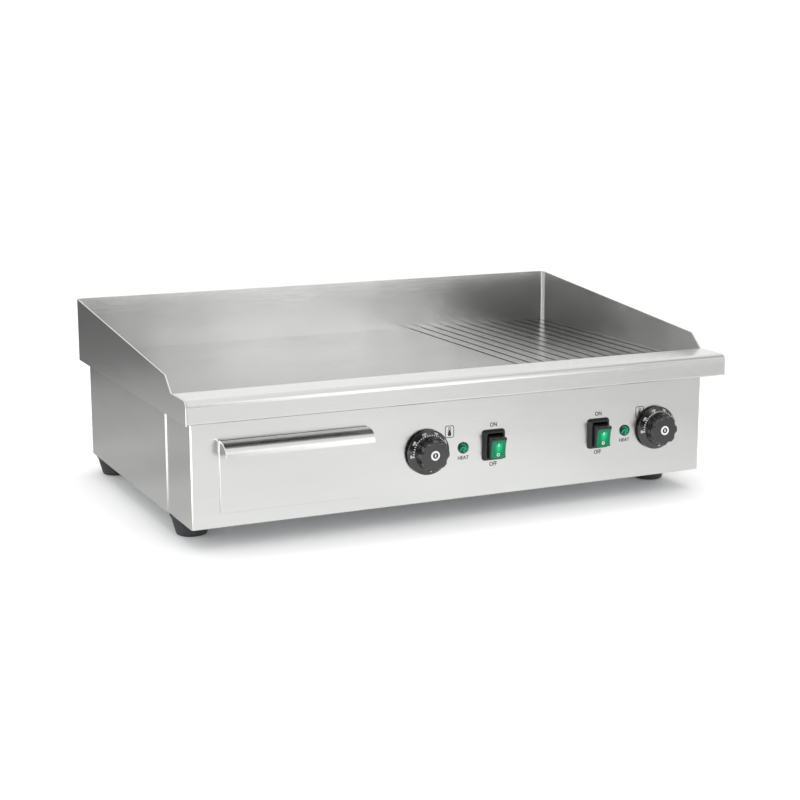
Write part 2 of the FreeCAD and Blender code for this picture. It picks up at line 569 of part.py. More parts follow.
def at_control(x):
    """Point on the control line with y = 0."""
    return Vector(x, 0, CONTROL_Z)


def thermostat(side):
    """Thermostat body behind the panel, with the collar that carries its shaft and six tab terminals."""
    centre = at_control(KNOB_X[side])
    body = box(centre.x - 18, centre.x + 18, PANEL_BACK_Y, 60, CONTROL_Z - 18, CONTROL_Z + 18)
    body = body.makeFillet(2.0, [e for e in body.Edges if abs(e.tangentAt(0).dot(Y)) > 0.99])
    cap = rod(14.0, centre + Y * 60, centre + Y * THERMOSTAT_BACK_Y)
    collar = rod(5.0, centre + Y * 29.2, centre + Y * 40)
    tabs = [box(centre.x + dx - 3.1, centre.x + dx + 3.1, 60, 68, z - 0.4, z + 0.4)
            for dx in (-8.0, 8.0) for z in (CONTROL_Z - 16, CONTROL_Z + 16)]
    whole = body.fuse([cap, collar] + tabs)
    bore = rod(SHAFT_R + 0.06, centre + Y * 20, centre + Y * 46.2)
    holes = [rod(2.0, centre + X * dx + Y * 30, centre + X * dx + Y * 45) for dx in (-14, 14)]
    return whole.cut([bore] + holes)


def thermostat_shaft(side):
    """Round shaft that the knob is pressed on."""
    centre = at_control(KNOB_X[side])
    shaft = rod(SHAFT_R, centre + Y * 12, centre + Y * 46)
    groove = ring(SHAFT_R + 1, SHAFT_R - 0.5, centre + Y * 43, centre + Y * 44)
    return shaft.cut(groove)


def thermostat_screws(side):
    """Two screws through the panel into the thermostat, hidden behind the knob."""
    centre = at_control(KNOB_X[side])
    return [screw(3.4, 2.0, 2.0, 10.0, centre + X * dx + Y * PANEL_Y, Y) for dx in (-14, 14)]


def knob(side):
    """Dial with a sloping skirt for the scale and a fluted grip, hollow behind."""
    centre = at_control(KNOB_X[side])
    profile = [(SHAFT_R, KNOB_BACK_Y - 1), (7.5, KNOB_BACK_Y - 1), (8.5, 24.5), (23.0, 26.2),
               (25.6, KNOB_BACK_Y), (KNOB_R, KNOB_BACK_Y), (KNOB_R, 26.8), (27.4, 26.0), (21.4, 20.6),
               (GRIP_R + 0.2, 20.0), (GRIP_R, 9.6), (GRIP_R - 0.7, 8.0), (GRIP_R - 2.2, KNOB_FACE_Y),
               (6.6, KNOB_FACE_Y), (6.6, KNOB_FACE_Y + 1), (0, KNOB_FACE_Y + 1), (0, 12), (SHAFT_R, 12)]
    dial = turned(profile, centre)
    flutes = []
    for i in range(FLUTE_COUNT):
        angle = math.tau * (i + 0.5) / FLUTE_COUNT
        middle = centre + X * (24.8 * math.cos(angle)) + Z * (24.8 * math.sin(angle))
        flutes.append(rod(6.6, middle, middle + Y * 19.6))
    return dial.cut(Part.makeCompound(flutes))


def knob_cap(side):
    """Small disc let into the middle of the knob's face."""
    centre = at_control(KNOB_X[side])
    return rod(6.6, centre + Y * (KNOB_FACE_Y - 0.3), centre + Y * (KNOB_FACE_Y + 1))


def switch_housing(side):
    """Switch body through the panel, with a pocket for the rocker and four tab terminals."""
    x = SWITCH_X[side]
    w, h = SWITCH_W / 2, SWITCH_H / 2
    body = box(x - w, x + w, PANEL_Y, 58, CONTROL_Z - h, CONTROL_Z + h)
    pocket = box(x - 10.7, x + 10.7, PANEL_Y - 1, 43, CONTROL_Z - 14.9, CONTROL_Z + 14.9)
    pivot = Vector(x, PIVOT_Y, CONTROL_Z)
    tabs = [box(x + dx - 3.1, x + dx + 3.1, 58, 66, z - 0.4, z + 0.4)
            for dx in (-6.0, 6.0) for z in (CONTROL_Z - 6, CONTROL_Z + 6)]
    return body.cut([pocket, rod(1.6, pivot - X * 11.7, pivot + X * 11.7)]).fuse(tabs)


def rounded_outline(x, y, half_w, half_h, radius):
    """Wire of a rounded rectangle about the control line, standing at a depth y."""
    blank = rounded_block(x - half_w, x + half_w, y, y + 1, CONTROL_Z - half_h, CONTROL_Z + half_h, radius)
    face = [f for f in blank.Faces if f.BoundBox.YMax < y + 0.01][0]
    return face.OuterWire


def switch_boot(side):
    """Rubber frame over the switch, tapering to a rim round the opening for the rocker."""
    x = SWITCH_X[side]
    frame = Part.makeLoft([rounded_outline(x, PANEL_Y, 16, 19.5, 4.0),
                           rounded_outline(x, PANEL_Y - 1.5, 16, 19.5, 4.0),
                           rounded_outline(x, BOOT_FACE_Y, 12.9, 17.4, 2.6)], True, True)
    return frame.cut(box(x - 10.8, x + 10.8, 0, 50, CONTROL_Z - 15.2, CONTROL_Z + 15.2))


def rocker_parts(side):
    """Rocker carrier with its two trunnions, and the lens let into its face, both standing at off."""
    x = SWITCH_X[side]
    pivot = Vector(x, PIVOT_Y, CONTROL_Z)
    side_view = [(-17.6, 13.2), (-15.6, 0), (-17.6, -13.2), (-8, -13.9), (5, -12.2), (5, 12.2), (-8, 13.9)]
    outline = [Vector(x - ROCKER_HALF_W, PIVOT_Y + dy, CONTROL_Z + dz) for dy, dz in side_view]
    block = Part.Face(Part.makePolygon(outline + outline[:1])).extrude(X * (2 * ROCKER_HALF_W))
    rims = edges_where(block, lambda p: p.y < PIVOT_Y - 17.5)
    block = block.makeFillet(1.2, rims)
    window = rounded_block(x - 9.8, x + 9.8, 0, PIVOT_Y - 13.2, CONTROL_Z - 12.4, CONTROL_Z + 10.8, 1.5)
    lens = block.common(window)
    carrier = block.cut(window).fuse([rod(1.5, pivot + X * s * 10, pivot + X * s * 11.6) for s in (-1, 1)])
    for piece in (carrier, lens):
        piece.rotate(pivot, X, ROCKER_THROW / 2)
    return carrier, lens


def pilot_lamp(side):
    """Lamp body through the panel, with a thin round bezel in front."""
    centre = at_control(LAMP_X[side])
    bezel = ring(7.2, 5.0, centre + Y * (PANEL_Y - 1.2), centre + Y * PANEL_Y)
    barrel = ring(5.0, 3.6, centre + Y * (PANEL_Y - 1.2), centre + Y * 50)
    tail = rod(5.0, centre + Y * 50, centre + Y * 54)
    tabs = [box(centre.x + dx - 1.4, centre.x + dx + 1.4, 54, 61, CONTROL_Z - 0.4, CONTROL_Z + 0.4)
            for dx in (-3.0, 3.0)]
    return barrel.fuse([bezel, tail] + tabs)


def pilot_lens(side):
    """Domed lens in front of the lamp."""
    centre = at_control(LAMP_X[side])
    back = PANEL_Y - 1.2
    profile = [(0, back - 4.2), (2.2, back - 4.0), (4.2, back - 3.2), (5.6, back - 1.9), (6.3, back - 0.4),
               (6.3, back), (0, back)]
    stem = rod(3.5, centre + Y * back, centre + Y * (back + 8))
    return turned(profile, centre).fuse(stem)


# ---- mains connection and wiring ----------------------------------------------------------------------
TERMINAL_X0, TERMINAL_X1 = 215.0, 275.0
TERMINAL_FRONT_Y = 395.0


def terminal_block():
    """Ceramic block on the base tray, with three poles and their clamp screws."""
    block = box(TERMINAL_X0, TERMINAL_X1, TERMINAL_FRONT_Y, 420, TRAY_FLOOR_Z, 55)
    wells = [rod(4.0, Vector(TERMINAL_X0 + 10 + 20 * i, 407, 48), Vector(TERMINAL_X0 + 10 + 20 * i, 407, 60))
             for i in range(3)]
    notches = [box(TERMINAL_X0 + 20 * i - 1, TERMINAL_X0 + 20 * i + 1, 390, 425, 45, 60) for i in (1, 2)]
    return block.cut(wells + notches)


def earth_stud():
    """Welded stud with its nut, where the earth wires meet."""
    base = Vector(195.0, 440.0, TRAY_FLOOR_Z)
    nut = hexagon(8.0, base + Z * 4, base + Z * 8).cut(rod(2.5, base, base + Z * 20))
    return [rod(2.5, base, base + Z * 16), nut]


def cable_gland():
    """Threaded gland body through the cabinet's back, with a hexagon collar outside."""
    centre = Vector(GLAND_X, CABINET_BACK_Y, GLAND_Z)
    body = rod(10.0, centre - Y * 12, centre).fuse([hexagon(24.0, centre, centre + Y * 5),
                                                    rod(9.0, centre + Y * 5, centre + Y * 13)])
    return body.cut(rod(5.5, centre - Y * 20, centre + Y * 30))


def gland_dome_nut():
    """Domed nut on the gland, with grip flats and a round mouth for the cable."""
    centre = Vector(GLAND_X, 0, GLAND_Z)
    y = CABINET_BACK_Y + 5
    profile = [(9.0, y), (11.6, y), (11.6, y + 9), (10.6, y + 13), (8.6, y + 16), (7.2, y + 17), (6.4, y + 17),
               (6.4, y + 8.2), (9.0, y + 8.2)]
    nut = turned(profile, centre)
    return nut.common(hexagon(22.0, centre + Y * (y - 5), centre + Y * (y + 30)).fuse(
        rod(11.3, centre + Y * (y - 5), centre + Y * (y + 30))))


def gland_locknut():
    """Thin nut that holds the gland from inside."""
    centre = Vector(GLAND_X, CABINET_BACK_Y - SHEET_T, GLAND_Z)
    return hexagon(26.0, centre - Y * 5, centre).cut(rod(10.0, centre - Y * 6, centre + Y))


def wiring_loom():
    """Insulated wires: mains to the switches, switches to thermostats, thermostats to elements and back."""
    front = TERMINAL_FRONT_Y
    tab_y, low = 66.0, TERMINAL_Z
    routes = [
        [(225, front, 40), (225, 100, 40), (200, 100, 40), (200, 100, 84), (200, tab_y, 84)],
        [(245, front, 46), (245, 110, 46), (48, 110, 46), (48, 110, 84), (48, tab_y, 84)],
        [(188, tab_y, 96), (188, 88, 96), (188, 88, 58), (272, 88, 58), (272, 88, 74), (272, 68, 74)],
        [(36, tab_y, 96), (36, 88, 96), (36, 88, 58), (-42, 88, 58), (-42, 88, 74), (-42, 68, 74)],
        [(288, 68, 74), (288, 118, 74), (315, 118, 74), (315, 118, low)],
        [(-58, 68, 74), (-58, 118, 74), (-45, 118, 74), (-45, 118, low)],
        [(45, 118, low), (45, 118, 51), (265, 118, 51), (265, front, 51)],
        [(-315, 118, low), (-315, 118, 44), (-315, 300, 44), (190, 300, 44), (190, 407, 44),
         (TERMINAL_X0, 407, 44)],
    ]
    return [tube([Vector(*p) for p in route], 1.3, 6.0) for route in routes]


# ---- all the nodes ------------------------------------------------------------------------------------
def main():
    """Builds every node and writes it."""
    os.makedirs("parts", exist_ok=True)
    save("splash_guard", splash_guard())
    save("front_nose", front_nose())
    save("grease_gutter", grease_gutter())
    save("drain_spout", drain_spout())
    save("griddle_plate", griddle_plate())
    bars, studs, nuts = clamp_parts()
    save("element_clamp_bars", *bars)
    save("element_studs", *studs)
    save("element_nuts", *nuts)
    save("heat_shield", heat_shield())
    save("bulb_clips", *bulb_clips())
    save("base_tray", base_tray())
    save("rear_casing", rear_casing())
    save("front_panel", front_panel())
    for name, centre in foot_centres().items():
        save(f"foot_{name}", foot(centre))
    save("foot_bolts", *[foot_bolt(c) for c in foot_centres().values()])
    save("foot_nuts", *[foot_nut(c) for c in foot_centres().values()])
    under_flange = Z * (HOB_BASE_Z - SHEET_T)
    places = HOB_SCREW_PLACES + NOSE_SCREW_PLACES
    save("hob_screws", *[screw(4.5, 2.6, HOB_SCREW_R, 2.6, p + under_flange, Z) for p in places])
    below = Z * CABINET_BASE_Z
    save("front_panel_screws", *[screw(4.0, 2.2, 2.0, 8.0, p + below, Z) for p in PANEL_SCREW_PLACES])
    save("drawer_guide", drawer_guide())
    save("drawer_tray", drawer_tray())
    save("drawer_front", drawer_front())
    save("drawer_handle", drawer_handle())
    save("handle_rivets", *handle_rivets())
    for side in SIDES:
        save(f"heating_element_{side}", heating_element(side))
        save(f"capillary_{side}", capillary(side))
        save(f"thermostat_{side}", thermostat(side))
        save(f"thermostat_shaft_{side}", thermostat_shaft(side))
        save(f"knob_{side}", knob(side))
        save(f"knob_cap_{side}", knob_cap(side))
        save(f"switch_housing_{side}", switch_housing(side))
        save(f"switch_boot_{side}", switch_boot(side))
        carrier, lens = rocker_parts(side)
        save(f"rocker_{side}", carrier)
        save(f"rocker_lens_{side}", lens)
        save(f"pilot_lamp_{side}", pilot_lamp(side))
        save(f"pilot_lens_{side}", pilot_lens(side))
    save("thermostat_screws", *[s for side in SIDES for s in thermostat_screws(side)])
    save("terminal_block", terminal_block())
    save("earth_stud", *earth_stud())
    save("cable_gland", cable_gland())
    save("gland_dome_nut", gland_dome_nut())
    save("gland_locknut", gland_locknut())
    save("wiring_loom", *wiring_loom())


main()
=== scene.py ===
"""Electric counter griddle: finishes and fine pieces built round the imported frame.

The folded sheets, the plate, the drawer and the fasteners are the frame's own nodes and get their metals
here. The dials, rocker switches, lamp lenses, feet and printed marks are new pieces, made as surfaces over
two parameters. Lengths are metres; MM turns a millimetre into one.
"""
import json
import math

import bmesh
import bpy
import numpy as np
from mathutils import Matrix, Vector


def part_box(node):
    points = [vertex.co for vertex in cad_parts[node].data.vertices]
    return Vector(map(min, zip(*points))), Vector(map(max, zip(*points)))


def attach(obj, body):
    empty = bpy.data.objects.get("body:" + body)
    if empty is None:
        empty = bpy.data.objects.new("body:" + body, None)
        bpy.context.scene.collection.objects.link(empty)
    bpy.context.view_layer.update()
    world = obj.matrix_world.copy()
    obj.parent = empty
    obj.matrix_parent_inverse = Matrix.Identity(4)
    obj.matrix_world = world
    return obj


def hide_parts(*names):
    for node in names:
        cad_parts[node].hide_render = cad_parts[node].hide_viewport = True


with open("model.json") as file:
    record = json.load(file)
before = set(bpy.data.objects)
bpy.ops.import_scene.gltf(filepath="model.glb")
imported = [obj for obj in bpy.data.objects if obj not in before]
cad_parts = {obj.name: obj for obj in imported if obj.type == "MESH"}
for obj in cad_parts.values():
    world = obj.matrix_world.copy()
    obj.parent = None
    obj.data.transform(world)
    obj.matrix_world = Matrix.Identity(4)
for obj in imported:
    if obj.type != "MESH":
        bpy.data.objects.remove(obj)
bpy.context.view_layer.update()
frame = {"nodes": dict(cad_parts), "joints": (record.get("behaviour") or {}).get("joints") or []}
MM = 0.001
JOINTS = {joint["name"]: joint for joint in frame["joints"]}
SIDES = ("left", "right")


# ---- places, all read from the frame ------------------------------------------------------------------
def middle(node):
    """Centre of a node's box."""
    low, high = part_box(node)
    return np.array((low + high) / 2)


PANEL_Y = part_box("front_panel")[0].y
CONTROL_Z = middle("knob_left")[2]


# ---- shapes -------------------------------------------------------------------------------------------
def quads_between(rows, columns, close_rows=False):
    """Quads of a grid of rows by columns whose columns wrap round; the rows wrap too if asked."""
    index = np.arange(rows * columns).reshape(rows, columns)
    if close_rows:
        index = np.vstack([index, index[:1]])
    here, after = index[:-1], index[1:]
    quads = np.stack([here, np.roll(here, -1, 1), np.roll(after, -1, 1), after], -1)
    return quads.reshape(-1, 4)


def piece_from(name, points, faces, finish, body, stands_for=(), sharp=35.0):
    """Mesh piece from points and faces, with doubles welded, normals outward and corners kept crisp."""
    mesh = bpy.data.meshes.new(name)
    mesh.from_pydata(np.asarray(points, float).reshape(-1, 3).tolist(), [], [list(f) for f in faces])
    work = bmesh.new()
    work.from_mesh(mesh)
    bmesh.ops.remove_doubles(work, verts=work.verts, dist=1e-7)
    bmesh.ops.recalc_face_normals(work, faces=work.faces)
    work.to_mesh(mesh)
    work.free()
    mesh.polygons.foreach_set("use_smooth", np.ones(len(mesh.polygons), bool))
    mesh.set_sharp_from_angle(angle=math.radians(sharp))
    piece = bpy.data.objects.new(name, mesh)
    bpy.context.scene.collection.objects.link(piece)
    mesh.materials.append(finish)
    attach(piece, body)
    if stands_for:
        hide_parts(*stands_for)
    return piece


def glow_field(piece, rule):
    """Stores on the piece a painted glow value per corner point, given by a rule of its places."""
    places = np.zeros(len(piece.data.vertices) * 3)
    piece.data.vertices.foreach_get("co", places)
    field = piece.data.attributes.new("glow", "FLOAT", "POINT")
    field.data.foreach_set("value", rule(places.reshape(-1, 3)).astype(np.float32))


def arc(centre, radius, start, end, count):
    """Points of an arc in a plane, from one angle to another in degrees."""
    angles = np.radians(np.linspace(start, end, count))
    return np.stack([centre[0] + radius * np.cos(angles), centre[1] + radius * np.sin(angles)], -1)


def round_rectangle(half_w, half_h, radius, per_corner=9):
    """Outline of a rectangle with rounded corners: each corner is a quarter circle about a point that lies
    the radius inside both sides."""
    turn = np.linspace(0, math.pi / 2, per_corner)
    quarters = []
    for i, (sx, sz) in enumerate(((1, 1), (-1, 1), (-1, -1), (1, -1))):
        angle = turn + i * math.pi / 2
        quarters.append(np.stack([sx * (half_w - radius) + radius * np.cos(angle),
                                  sz * (half_h - radius) + radius * np.sin(angle)], -1))
    return np.concatenate(quarters)


def stacked_outlines(levels, centre):
    """Rings in space from (outline in x and z, depth) levels about a centre; depth runs along +Y."""
    rings = [np.stack([outline[:, 0], np.broadcast_to(depth, len(outline)), outline[:, 1]], -1)
             for outline, depth in levels]
    return np.array(rings) * MM + centre


def turned_surface(profile, centre, count=96, radius_at=None):
    """Surface of revolution about a line along Y: radius and depth come from the profile, and radius_at may
    change a ring's radius with the angle."""
    angle = np.linspace(0, math.tau, count, endpoint=False)
    rings = []
    for i, (radius, depth) in enumerate(profile):
        r = np.full(count, radius) if radius_at is None else radius_at(i, radius, angle)
        rings.append(np.stack([r * np.cos(angle), np.full(count, depth), r * np.sin(angle)], -1))
    return np.array(rings) * MM + centre


def tilted(points, pivot, degrees):
    """Points turned about a line along X through the pivot."""
    a = math.radians(degrees)
    y, z = points[..., 1] - pivot[1], points[..., 2] - pivot[2]
    turned = np.stack([points[..., 0], y * math.cos(a) - z * math.sin(a) + pivot[1],
                       y * math.sin(a) + z * math.cos(a) + pivot[2]], -1)
    return turned


# ---- material tools -----------------------------------------------------------------------------------
def new_group(name, inputs, outputs):
    """Empty shader node group with named float, vector or colour sockets."""
    kinds = {"F": "NodeSocketFloat", "V": "NodeSocketVector", "C": "NodeSocketColor"}
    group = bpy.data.node_groups.new(name, "ShaderNodeTree")
    for label, kind, default in inputs:
        socket = group.interface.new_socket(label, in_out="INPUT", socket_type=kinds[kind])
        socket.default_value = default
    for label, kind in outputs:
        group.interface.new_socket(label, in_out="OUTPUT", socket_type=kinds[kind])
    return group, group.nodes.new("NodeGroupInput"), group.nodes.new("NodeGroupOutput")


def add(tree, kind, links=(), **values):
    """Node with its properties set, and its inputs set or linked."""
    node = tree.nodes.new(kind)
    for key, value in values.items():
        setattr(node, key, value)
    for socket, source in links:
        if isinstance(source, bpy.types.NodeSocket):
            tree.links.new(source, node.inputs[socket])
        else:
            node.inputs[socket].default_value = source
    return node


def math_node(tree, operation, *sources):
    """Output of a Math node over up to three sources."""
    return add(tree, "ShaderNodeMath", list(enumerate(sources)), operation=operation).outputs[0]


def remap(tree, source, low, high):
    """Output of a Map Range node from 0..1 to low..high."""
    node = add(tree, "ShaderNodeMapRange", [("Value", source), ("To Min", low), ("To Max", high)])
    return node.outputs["Result"]


def blend(tree, share, first, second):
    """Output of a colour mix between two plain colours."""
    return add(tree, "ShaderNodeMix", [("Factor", share), (6, (*first, 1)), (7, (*second, 1))],
               data_type="RGBA").outputs[2]


def brushed_grain_group():
    """Grain of brushed sheet: noise on a plane whose first axis runs along the grain, stretched thin, and
    whose second runs across it, tight. Two scales are averaged, and a broad third one gives the tone."""
    group, inside, out = new_group(
        "brushed_grain",
        [("Along", "V", (1, 0, 0)), ("Across", "V", (0, 0, 1)), ("Length", "F", 14.0),
         ("Fineness", "F", 2600.0)],
        [("Grain", "F"), ("Tone", "F")])
    place = add(group, "ShaderNodeTexCoord").outputs["Object"]
    along = add(group, "ShaderNodeVectorMath", [(0, place), (1, inside.outputs["Along"])],
                operation="DOT_PRODUCT")
    across = add(group, "ShaderNodeVectorMath", [(0, place), (1, inside.outputs["Across"])],
                 operation="DOT_PRODUCT")
    u = math_node(group, "MULTIPLY", along.outputs["Value"], inside.outputs["Length"])
    v = math_node(group, "MULTIPLY", across.outputs["Value"], inside.outputs["Fineness"])
    noises = []
    for share_u, share_v, detail in ((1.0, 1.0, 3.0), (0.45, 0.22, 2.0), (0.12, 0.008, 2.0)):
        spot = add(group, "ShaderNodeCombineXYZ", [("X", math_node(group, "MULTIPLY", u, share_u)),
                                                   ("Y", math_node(group, "MULTIPLY", v, share_v))])
        noise = add(group, "ShaderNodeTexNoise", [("Vector", spot.outputs[0]), ("Scale", 1.0),
                                                  ("Detail", detail), ("Roughness", 0.6)])
        noises.append(noise.outputs["Fac"])
    fine = math_node(group, "MULTIPLY", noises[0], 0.6)
    grain = math_node(group, "MULTIPLY_ADD", noises[1], 0.4, fine)
    group.links.new(grain, out.inputs["Grain"])
    group.links.new(noises[2], out.inputs["Tone"])
    return group


def handling_group():
    """Faint smudges: a broad, warped noise, cut so that only its peaks are left."""
    group, inside, out = new_group("handling_marks", [("Size", "F", 12.0), ("Amount", "F", 1.0)],
                                   [("Mask", "F")])
    place = add(group, "ShaderNodeTexCoord").outputs["Object"]
    broad = add(group, "ShaderNodeTexNoise",
                [("Vector", place), ("Scale", inside.outputs["Size"]), ("Detail", 4.0), ("Roughness", 0.55),
                 ("Distortion", 0.6)]).outputs["Fac"]
    cut = add(group, "ShaderNodeMapRange", [("Value", broad), ("From Min", 0.48), ("From Max", 0.78)],
              interpolation_type="SMOOTHSTEP").outputs["Result"]
    group.links.new(math_node(group, "MULTIPLY", cut, inside.outputs["Amount"]), out.inputs["Mask"])
    return group


def moulded_group():
    """Grain of a spark-eroded mould: fine round speckle with a slow change of gloss."""
    group, inside, out = new_group("moulded_grain", [("Fineness", "F", 2200.0)],
                                   [("Speckle", "F"), ("Gloss", "F")])
    place = add(group, "ShaderNodeTexCoord").outputs["Object"]
    speckle = add(group, "ShaderNodeTexNoise", [("Vector", place), ("Scale", inside.outputs["Fineness"]),
                                                ("Detail", 2.0)]).outputs["Fac"]
    gloss = add(group, "ShaderNodeTexNoise",
                [("Vector", place), ("Scale", 60.0), ("Detail", 2.0)]).outputs["Fac"]
    group.links.new(speckle, out.inputs["Speckle"])
    group.links.new(gloss, out.inputs["Gloss"])
    return group


BRUSHED, HANDLING, MOULDED = brushed_grain_group(), handling_group(), moulded_group()


def new_material(name, **constants):
    """Material with a Principled BSDF whose constant inputs are set."""
    material = bpy.data.materials.new(name)
    material.use_nodes = True
    shader = material.node_tree.nodes["Principled BSDF"]
    for label, value in constants.items():
        shader.inputs[label.replace("_", " ")].default_value = value
    return material, material.node_tree, shader


def group_in(tree, group, **values):
    """A node group placed in a material, with its inputs set."""
    node = add(tree, "ShaderNodeGroup", node_tree=group)
    for label, value in values.items():
        node.inputs[label].default_value = value
    return node


def brushed_metal(name, dark, light, rough, along, across, length=14.0, fineness=2600.0, relief=0.16,
                  smudge=0.35, shade=None, sag=0.0):
    """Brushed sheet metal: the grain mixes two tones, sets the gloss and stands up as fine relief. A shade
    rule may darken it from place to place, and sag, in metres, lets a wide sheet wave a little."""
    material, tree, shader = new_material(name, Metallic=1.0)
    grain = group_in(tree, BRUSHED, Along=along, Across=across, Length=length, Fineness=fineness)
    marks = group_in(tree, HANDLING, Size=9.0, Amount=smudge)
    share = math_node(tree, "MULTIPLY_ADD", grain.outputs["Tone"], 0.5,
                      math_node(tree, "MULTIPLY", grain.outputs["Grain"], 0.5))
    colour = blend(tree, share, dark, light)
    if shade:
        colour = add(tree, "ShaderNodeMix", [("Factor", 1.0), (6, colour), (7, shade(tree))],
                     data_type="RGBA", blend_type="MULTIPLY").outputs[2]
    tree.links.new(colour, shader.inputs["Base Color"])
    gloss = remap(tree, grain.outputs["Grain"], rough[0], rough[1])
    gloss = math_node(tree, "MULTIPLY_ADD", marks.outputs["Mask"], 0.12, gloss)
    tree.links.new(gloss, shader.inputs["Roughness"])
    bump = add(tree, "ShaderNodeBump", [("Height", grain.outputs["Grain"]), ("Strength", relief),
                                        ("Distance", 0.0004)])
    if sag:
        place = add(tree, "ShaderNodeTexCoord").outputs["Object"]
        wave = add(tree, "ShaderNodeTexNoise",
                   [("Vector", place), ("Scale", 9.0), ("Detail", 1.0)]).outputs["Fac"]
        bump = add(tree, "ShaderNodeBump", [("Height", wave), ("Strength", 1.0), ("Distance", sag),
                                            ("Normal", bump.outputs["Normal"])])
    tree.links.new(bump.outputs["Normal"], shader.inputs["Normal"])
    return material


def moulded(name, colour, rough, relief=0.1, fineness=2200.0, **constants):
    """Moulded plastic or rubber with a fine mould grain."""
    material, tree, shader = new_material(name, **constants)
    grain = group_in(tree, MOULDED, Fineness=fineness)
    lifted = tuple(min(1.0, c * 1.35 + 0.004) for c in colour)
    tree.links.new(blend(tree, grain.outputs["Gloss"], colour, lifted), shader.inputs["Base Color"])
    tree.links.new(remap(tree, grain.outputs["Gloss"], rough[0], rough[1]), shader.inputs["Roughness"])
    bump = add(tree, "ShaderNodeBump", [("Height", grain.outputs["Speckle"]), ("Strength", relief),
                                        ("Distance", 0.0001)])
    tree.links.new(bump.outputs["Normal"], shader.inputs["Normal"])
    return material


def translucent_green(name, deep, bright, glow):
    """Green lens: part see-through, with a painted glow, deep at its rim and bright where the piece's
    own glow value is high, with a fine mottle as of the prisms moulded behind it."""
    material, tree, shader = new_material(name, IOR=1.3, Transmission_Weight=0.1, Emission_Strength=glow,
                                          Coat_Weight=0.15, Coat_Roughness=0.05)
    grain = group_in(tree, MOULDED, Fineness=520.0)
    value = add(tree, "ShaderNodeAttribute", attribute_name="glow").outputs["Fac"]
    value = math_node(tree, "MULTIPLY", value, remap(tree, grain.outputs["Speckle"], 0.55, 1.35))
    tone = blend(tree, value, deep, bright)
    tree.links.new(tone, shader.inputs["Base Color"])
    tree.links.new(tone, shader.inputs["Emission Color"])
    tree.links.new(remap(tree, grain.outputs["Gloss"], 0.1, 0.2), shader.inputs["Roughness"])
    return material


def underside_shade(tree):
    """Tone of the nose: a painted shade darkens its bottom flange, which faces the handle and the switches.
    """
    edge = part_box("front_nose")[0].z
    place = add(tree, "ShaderNodeTexCoord").outputs["Object"]
    height = add(tree, "ShaderNodeSeparateXYZ", [(0, place)]).outputs["Z"]
    return add(tree, "ShaderNodeMapRange",
               [("Value", height), ("From Min", edge + 0.5 * MM), ("From Max", edge + 1.0 * MM),
                ("To Min", 0.34), ("To Max", 1.0)]).outputs["Result"]


def plate_shade(tree):
    """Tone of the cooking plate: painted shade, darker toward the smooth end and black down in the grooves.
    """
    low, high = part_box("griddle_plate")
    place = add(tree, "ShaderNodeTexCoord").outputs["Object"]
    parts = add(tree, "ShaderNodeSeparateXYZ", [(0, place)]).outputs
    # painted shade: darker toward the smooth end
    painted_shade_along = add(tree, "ShaderNodeMapRange",
                 [("Value", parts["X"]), ("From Min", low.x), ("From Max", SMOOTH_END), ("To Min", 0.56),
                  ("To Max", 0.74)]).outputs["Result"]
    # painted shade down in the grooves
    groove = add(tree, "ShaderNodeMapRange",
                 [("Value", parts["Z"]), ("From Min", high.z - 1.4 * MM), ("From Max", high.z - 0.2 * MM),
                  ("To Min", 0.06), ("To Max", 1.0)]).outputs["Result"]
    return math_node(tree, "MULTIPLY", painted_shade_along, groove)


SMOOTH_END = 0.12                 # x where the plate's smooth part ends
STEEL_DARK, STEEL_LIGHT = (0.64, 0.64, 0.63), (0.78, 0.78, 0.77)
WALL_STEEL = brushed_metal("brushed_wall_steel", STEEL_DARK, STEEL_LIGHT, (0.17, 0.27), (1, 1, 0), (0, 0, 1),
                           sag=0.0012)
GUARD_STEEL = brushed_metal("brushed_guard_steel", (0.70, 0.70, 0.69), (0.86, 0.86, 0.85), (0.15, 0.25),
                            (1, 1, 0), (0, 0, 1), sag=0.001)
FOLD_STEEL = brushed_metal("brushed_fold_steel", STEEL_DARK, STEEL_LIGHT, (0.16, 0.26), (1, 0, 0), (0, 1, 1))
# the nose's steel carries a painted shade on its bottom flange
NOSE_STEEL = brushed_metal("brushed_nose_steel", STEEL_DARK, STEEL_LIGHT, (0.16, 0.26), (1, 0, 0), (0, 1, 1),
                           shade=underside_shade)
# the plate's steel carries painted shade: darker toward the smooth end and in the grooves
PLATE_STEEL = brushed_metal("ground_plate_steel", (0.46, 0.46, 0.455), (0.61, 0.61, 0.60), (0.18, 0.30),
                            (1, 0, 0), (0, 1, 0), length=9.0, fineness=1700.0, smudge=0.25, shade=plate_shade)
ZINC_SHEET = brushed_metal("zinc_sheet", (0.48, 0.50, 0.51), (0.66, 0.68, 0.70), (0.35, 0.55), (1, 1, 1),
                           (0, 1, 1), length=60.0, fineness=160.0, relief=0.05)
BRIGHT_ZINC = brushed_metal("bright_zinc", (0.55, 0.55, 0.55), (0.75, 0.75, 0.74), (0.22, 0.34), (1, 1, 0),
                            (0, 0, 1), length=80.0, fineness=900.0, relief=0.05)
SPRING_STEEL = brushed_metal("spring_steel", (0.30, 0.30, 0.31), (0.45, 0.45, 0.46), (0.3, 0.4), (0, 1, 0),
                             (1, 0, 0), relief=0.05)
ELEMENT_SHEATH = moulded("oxidised_sheath", (0.10, 0.095, 0.09), (0.5, 0.7), relief=0.2, Metallic=0.8)
COPPER_TUBE = brushed_metal("drawn_copper", (0.60, 0.32, 0.20), (0.80, 0.46, 0.30), (0.25, 0.4), (0, 1, 0),
                            (1, 0, 1))
GLAZED_CERAMIC = moulded("glazed_ceramic", (0.72, 0.70, 0.64), (0.12, 0.2), relief=0.03)
NYLON = moulded("black_nylon", (0.02, 0.02, 0.021), (0.45, 0.6))
GLASS_SLEEVE = moulded("woven_sleeve", (0.62, 0.60, 0.54), (0.7, 0.85), relief=0.5, fineness=900.0)
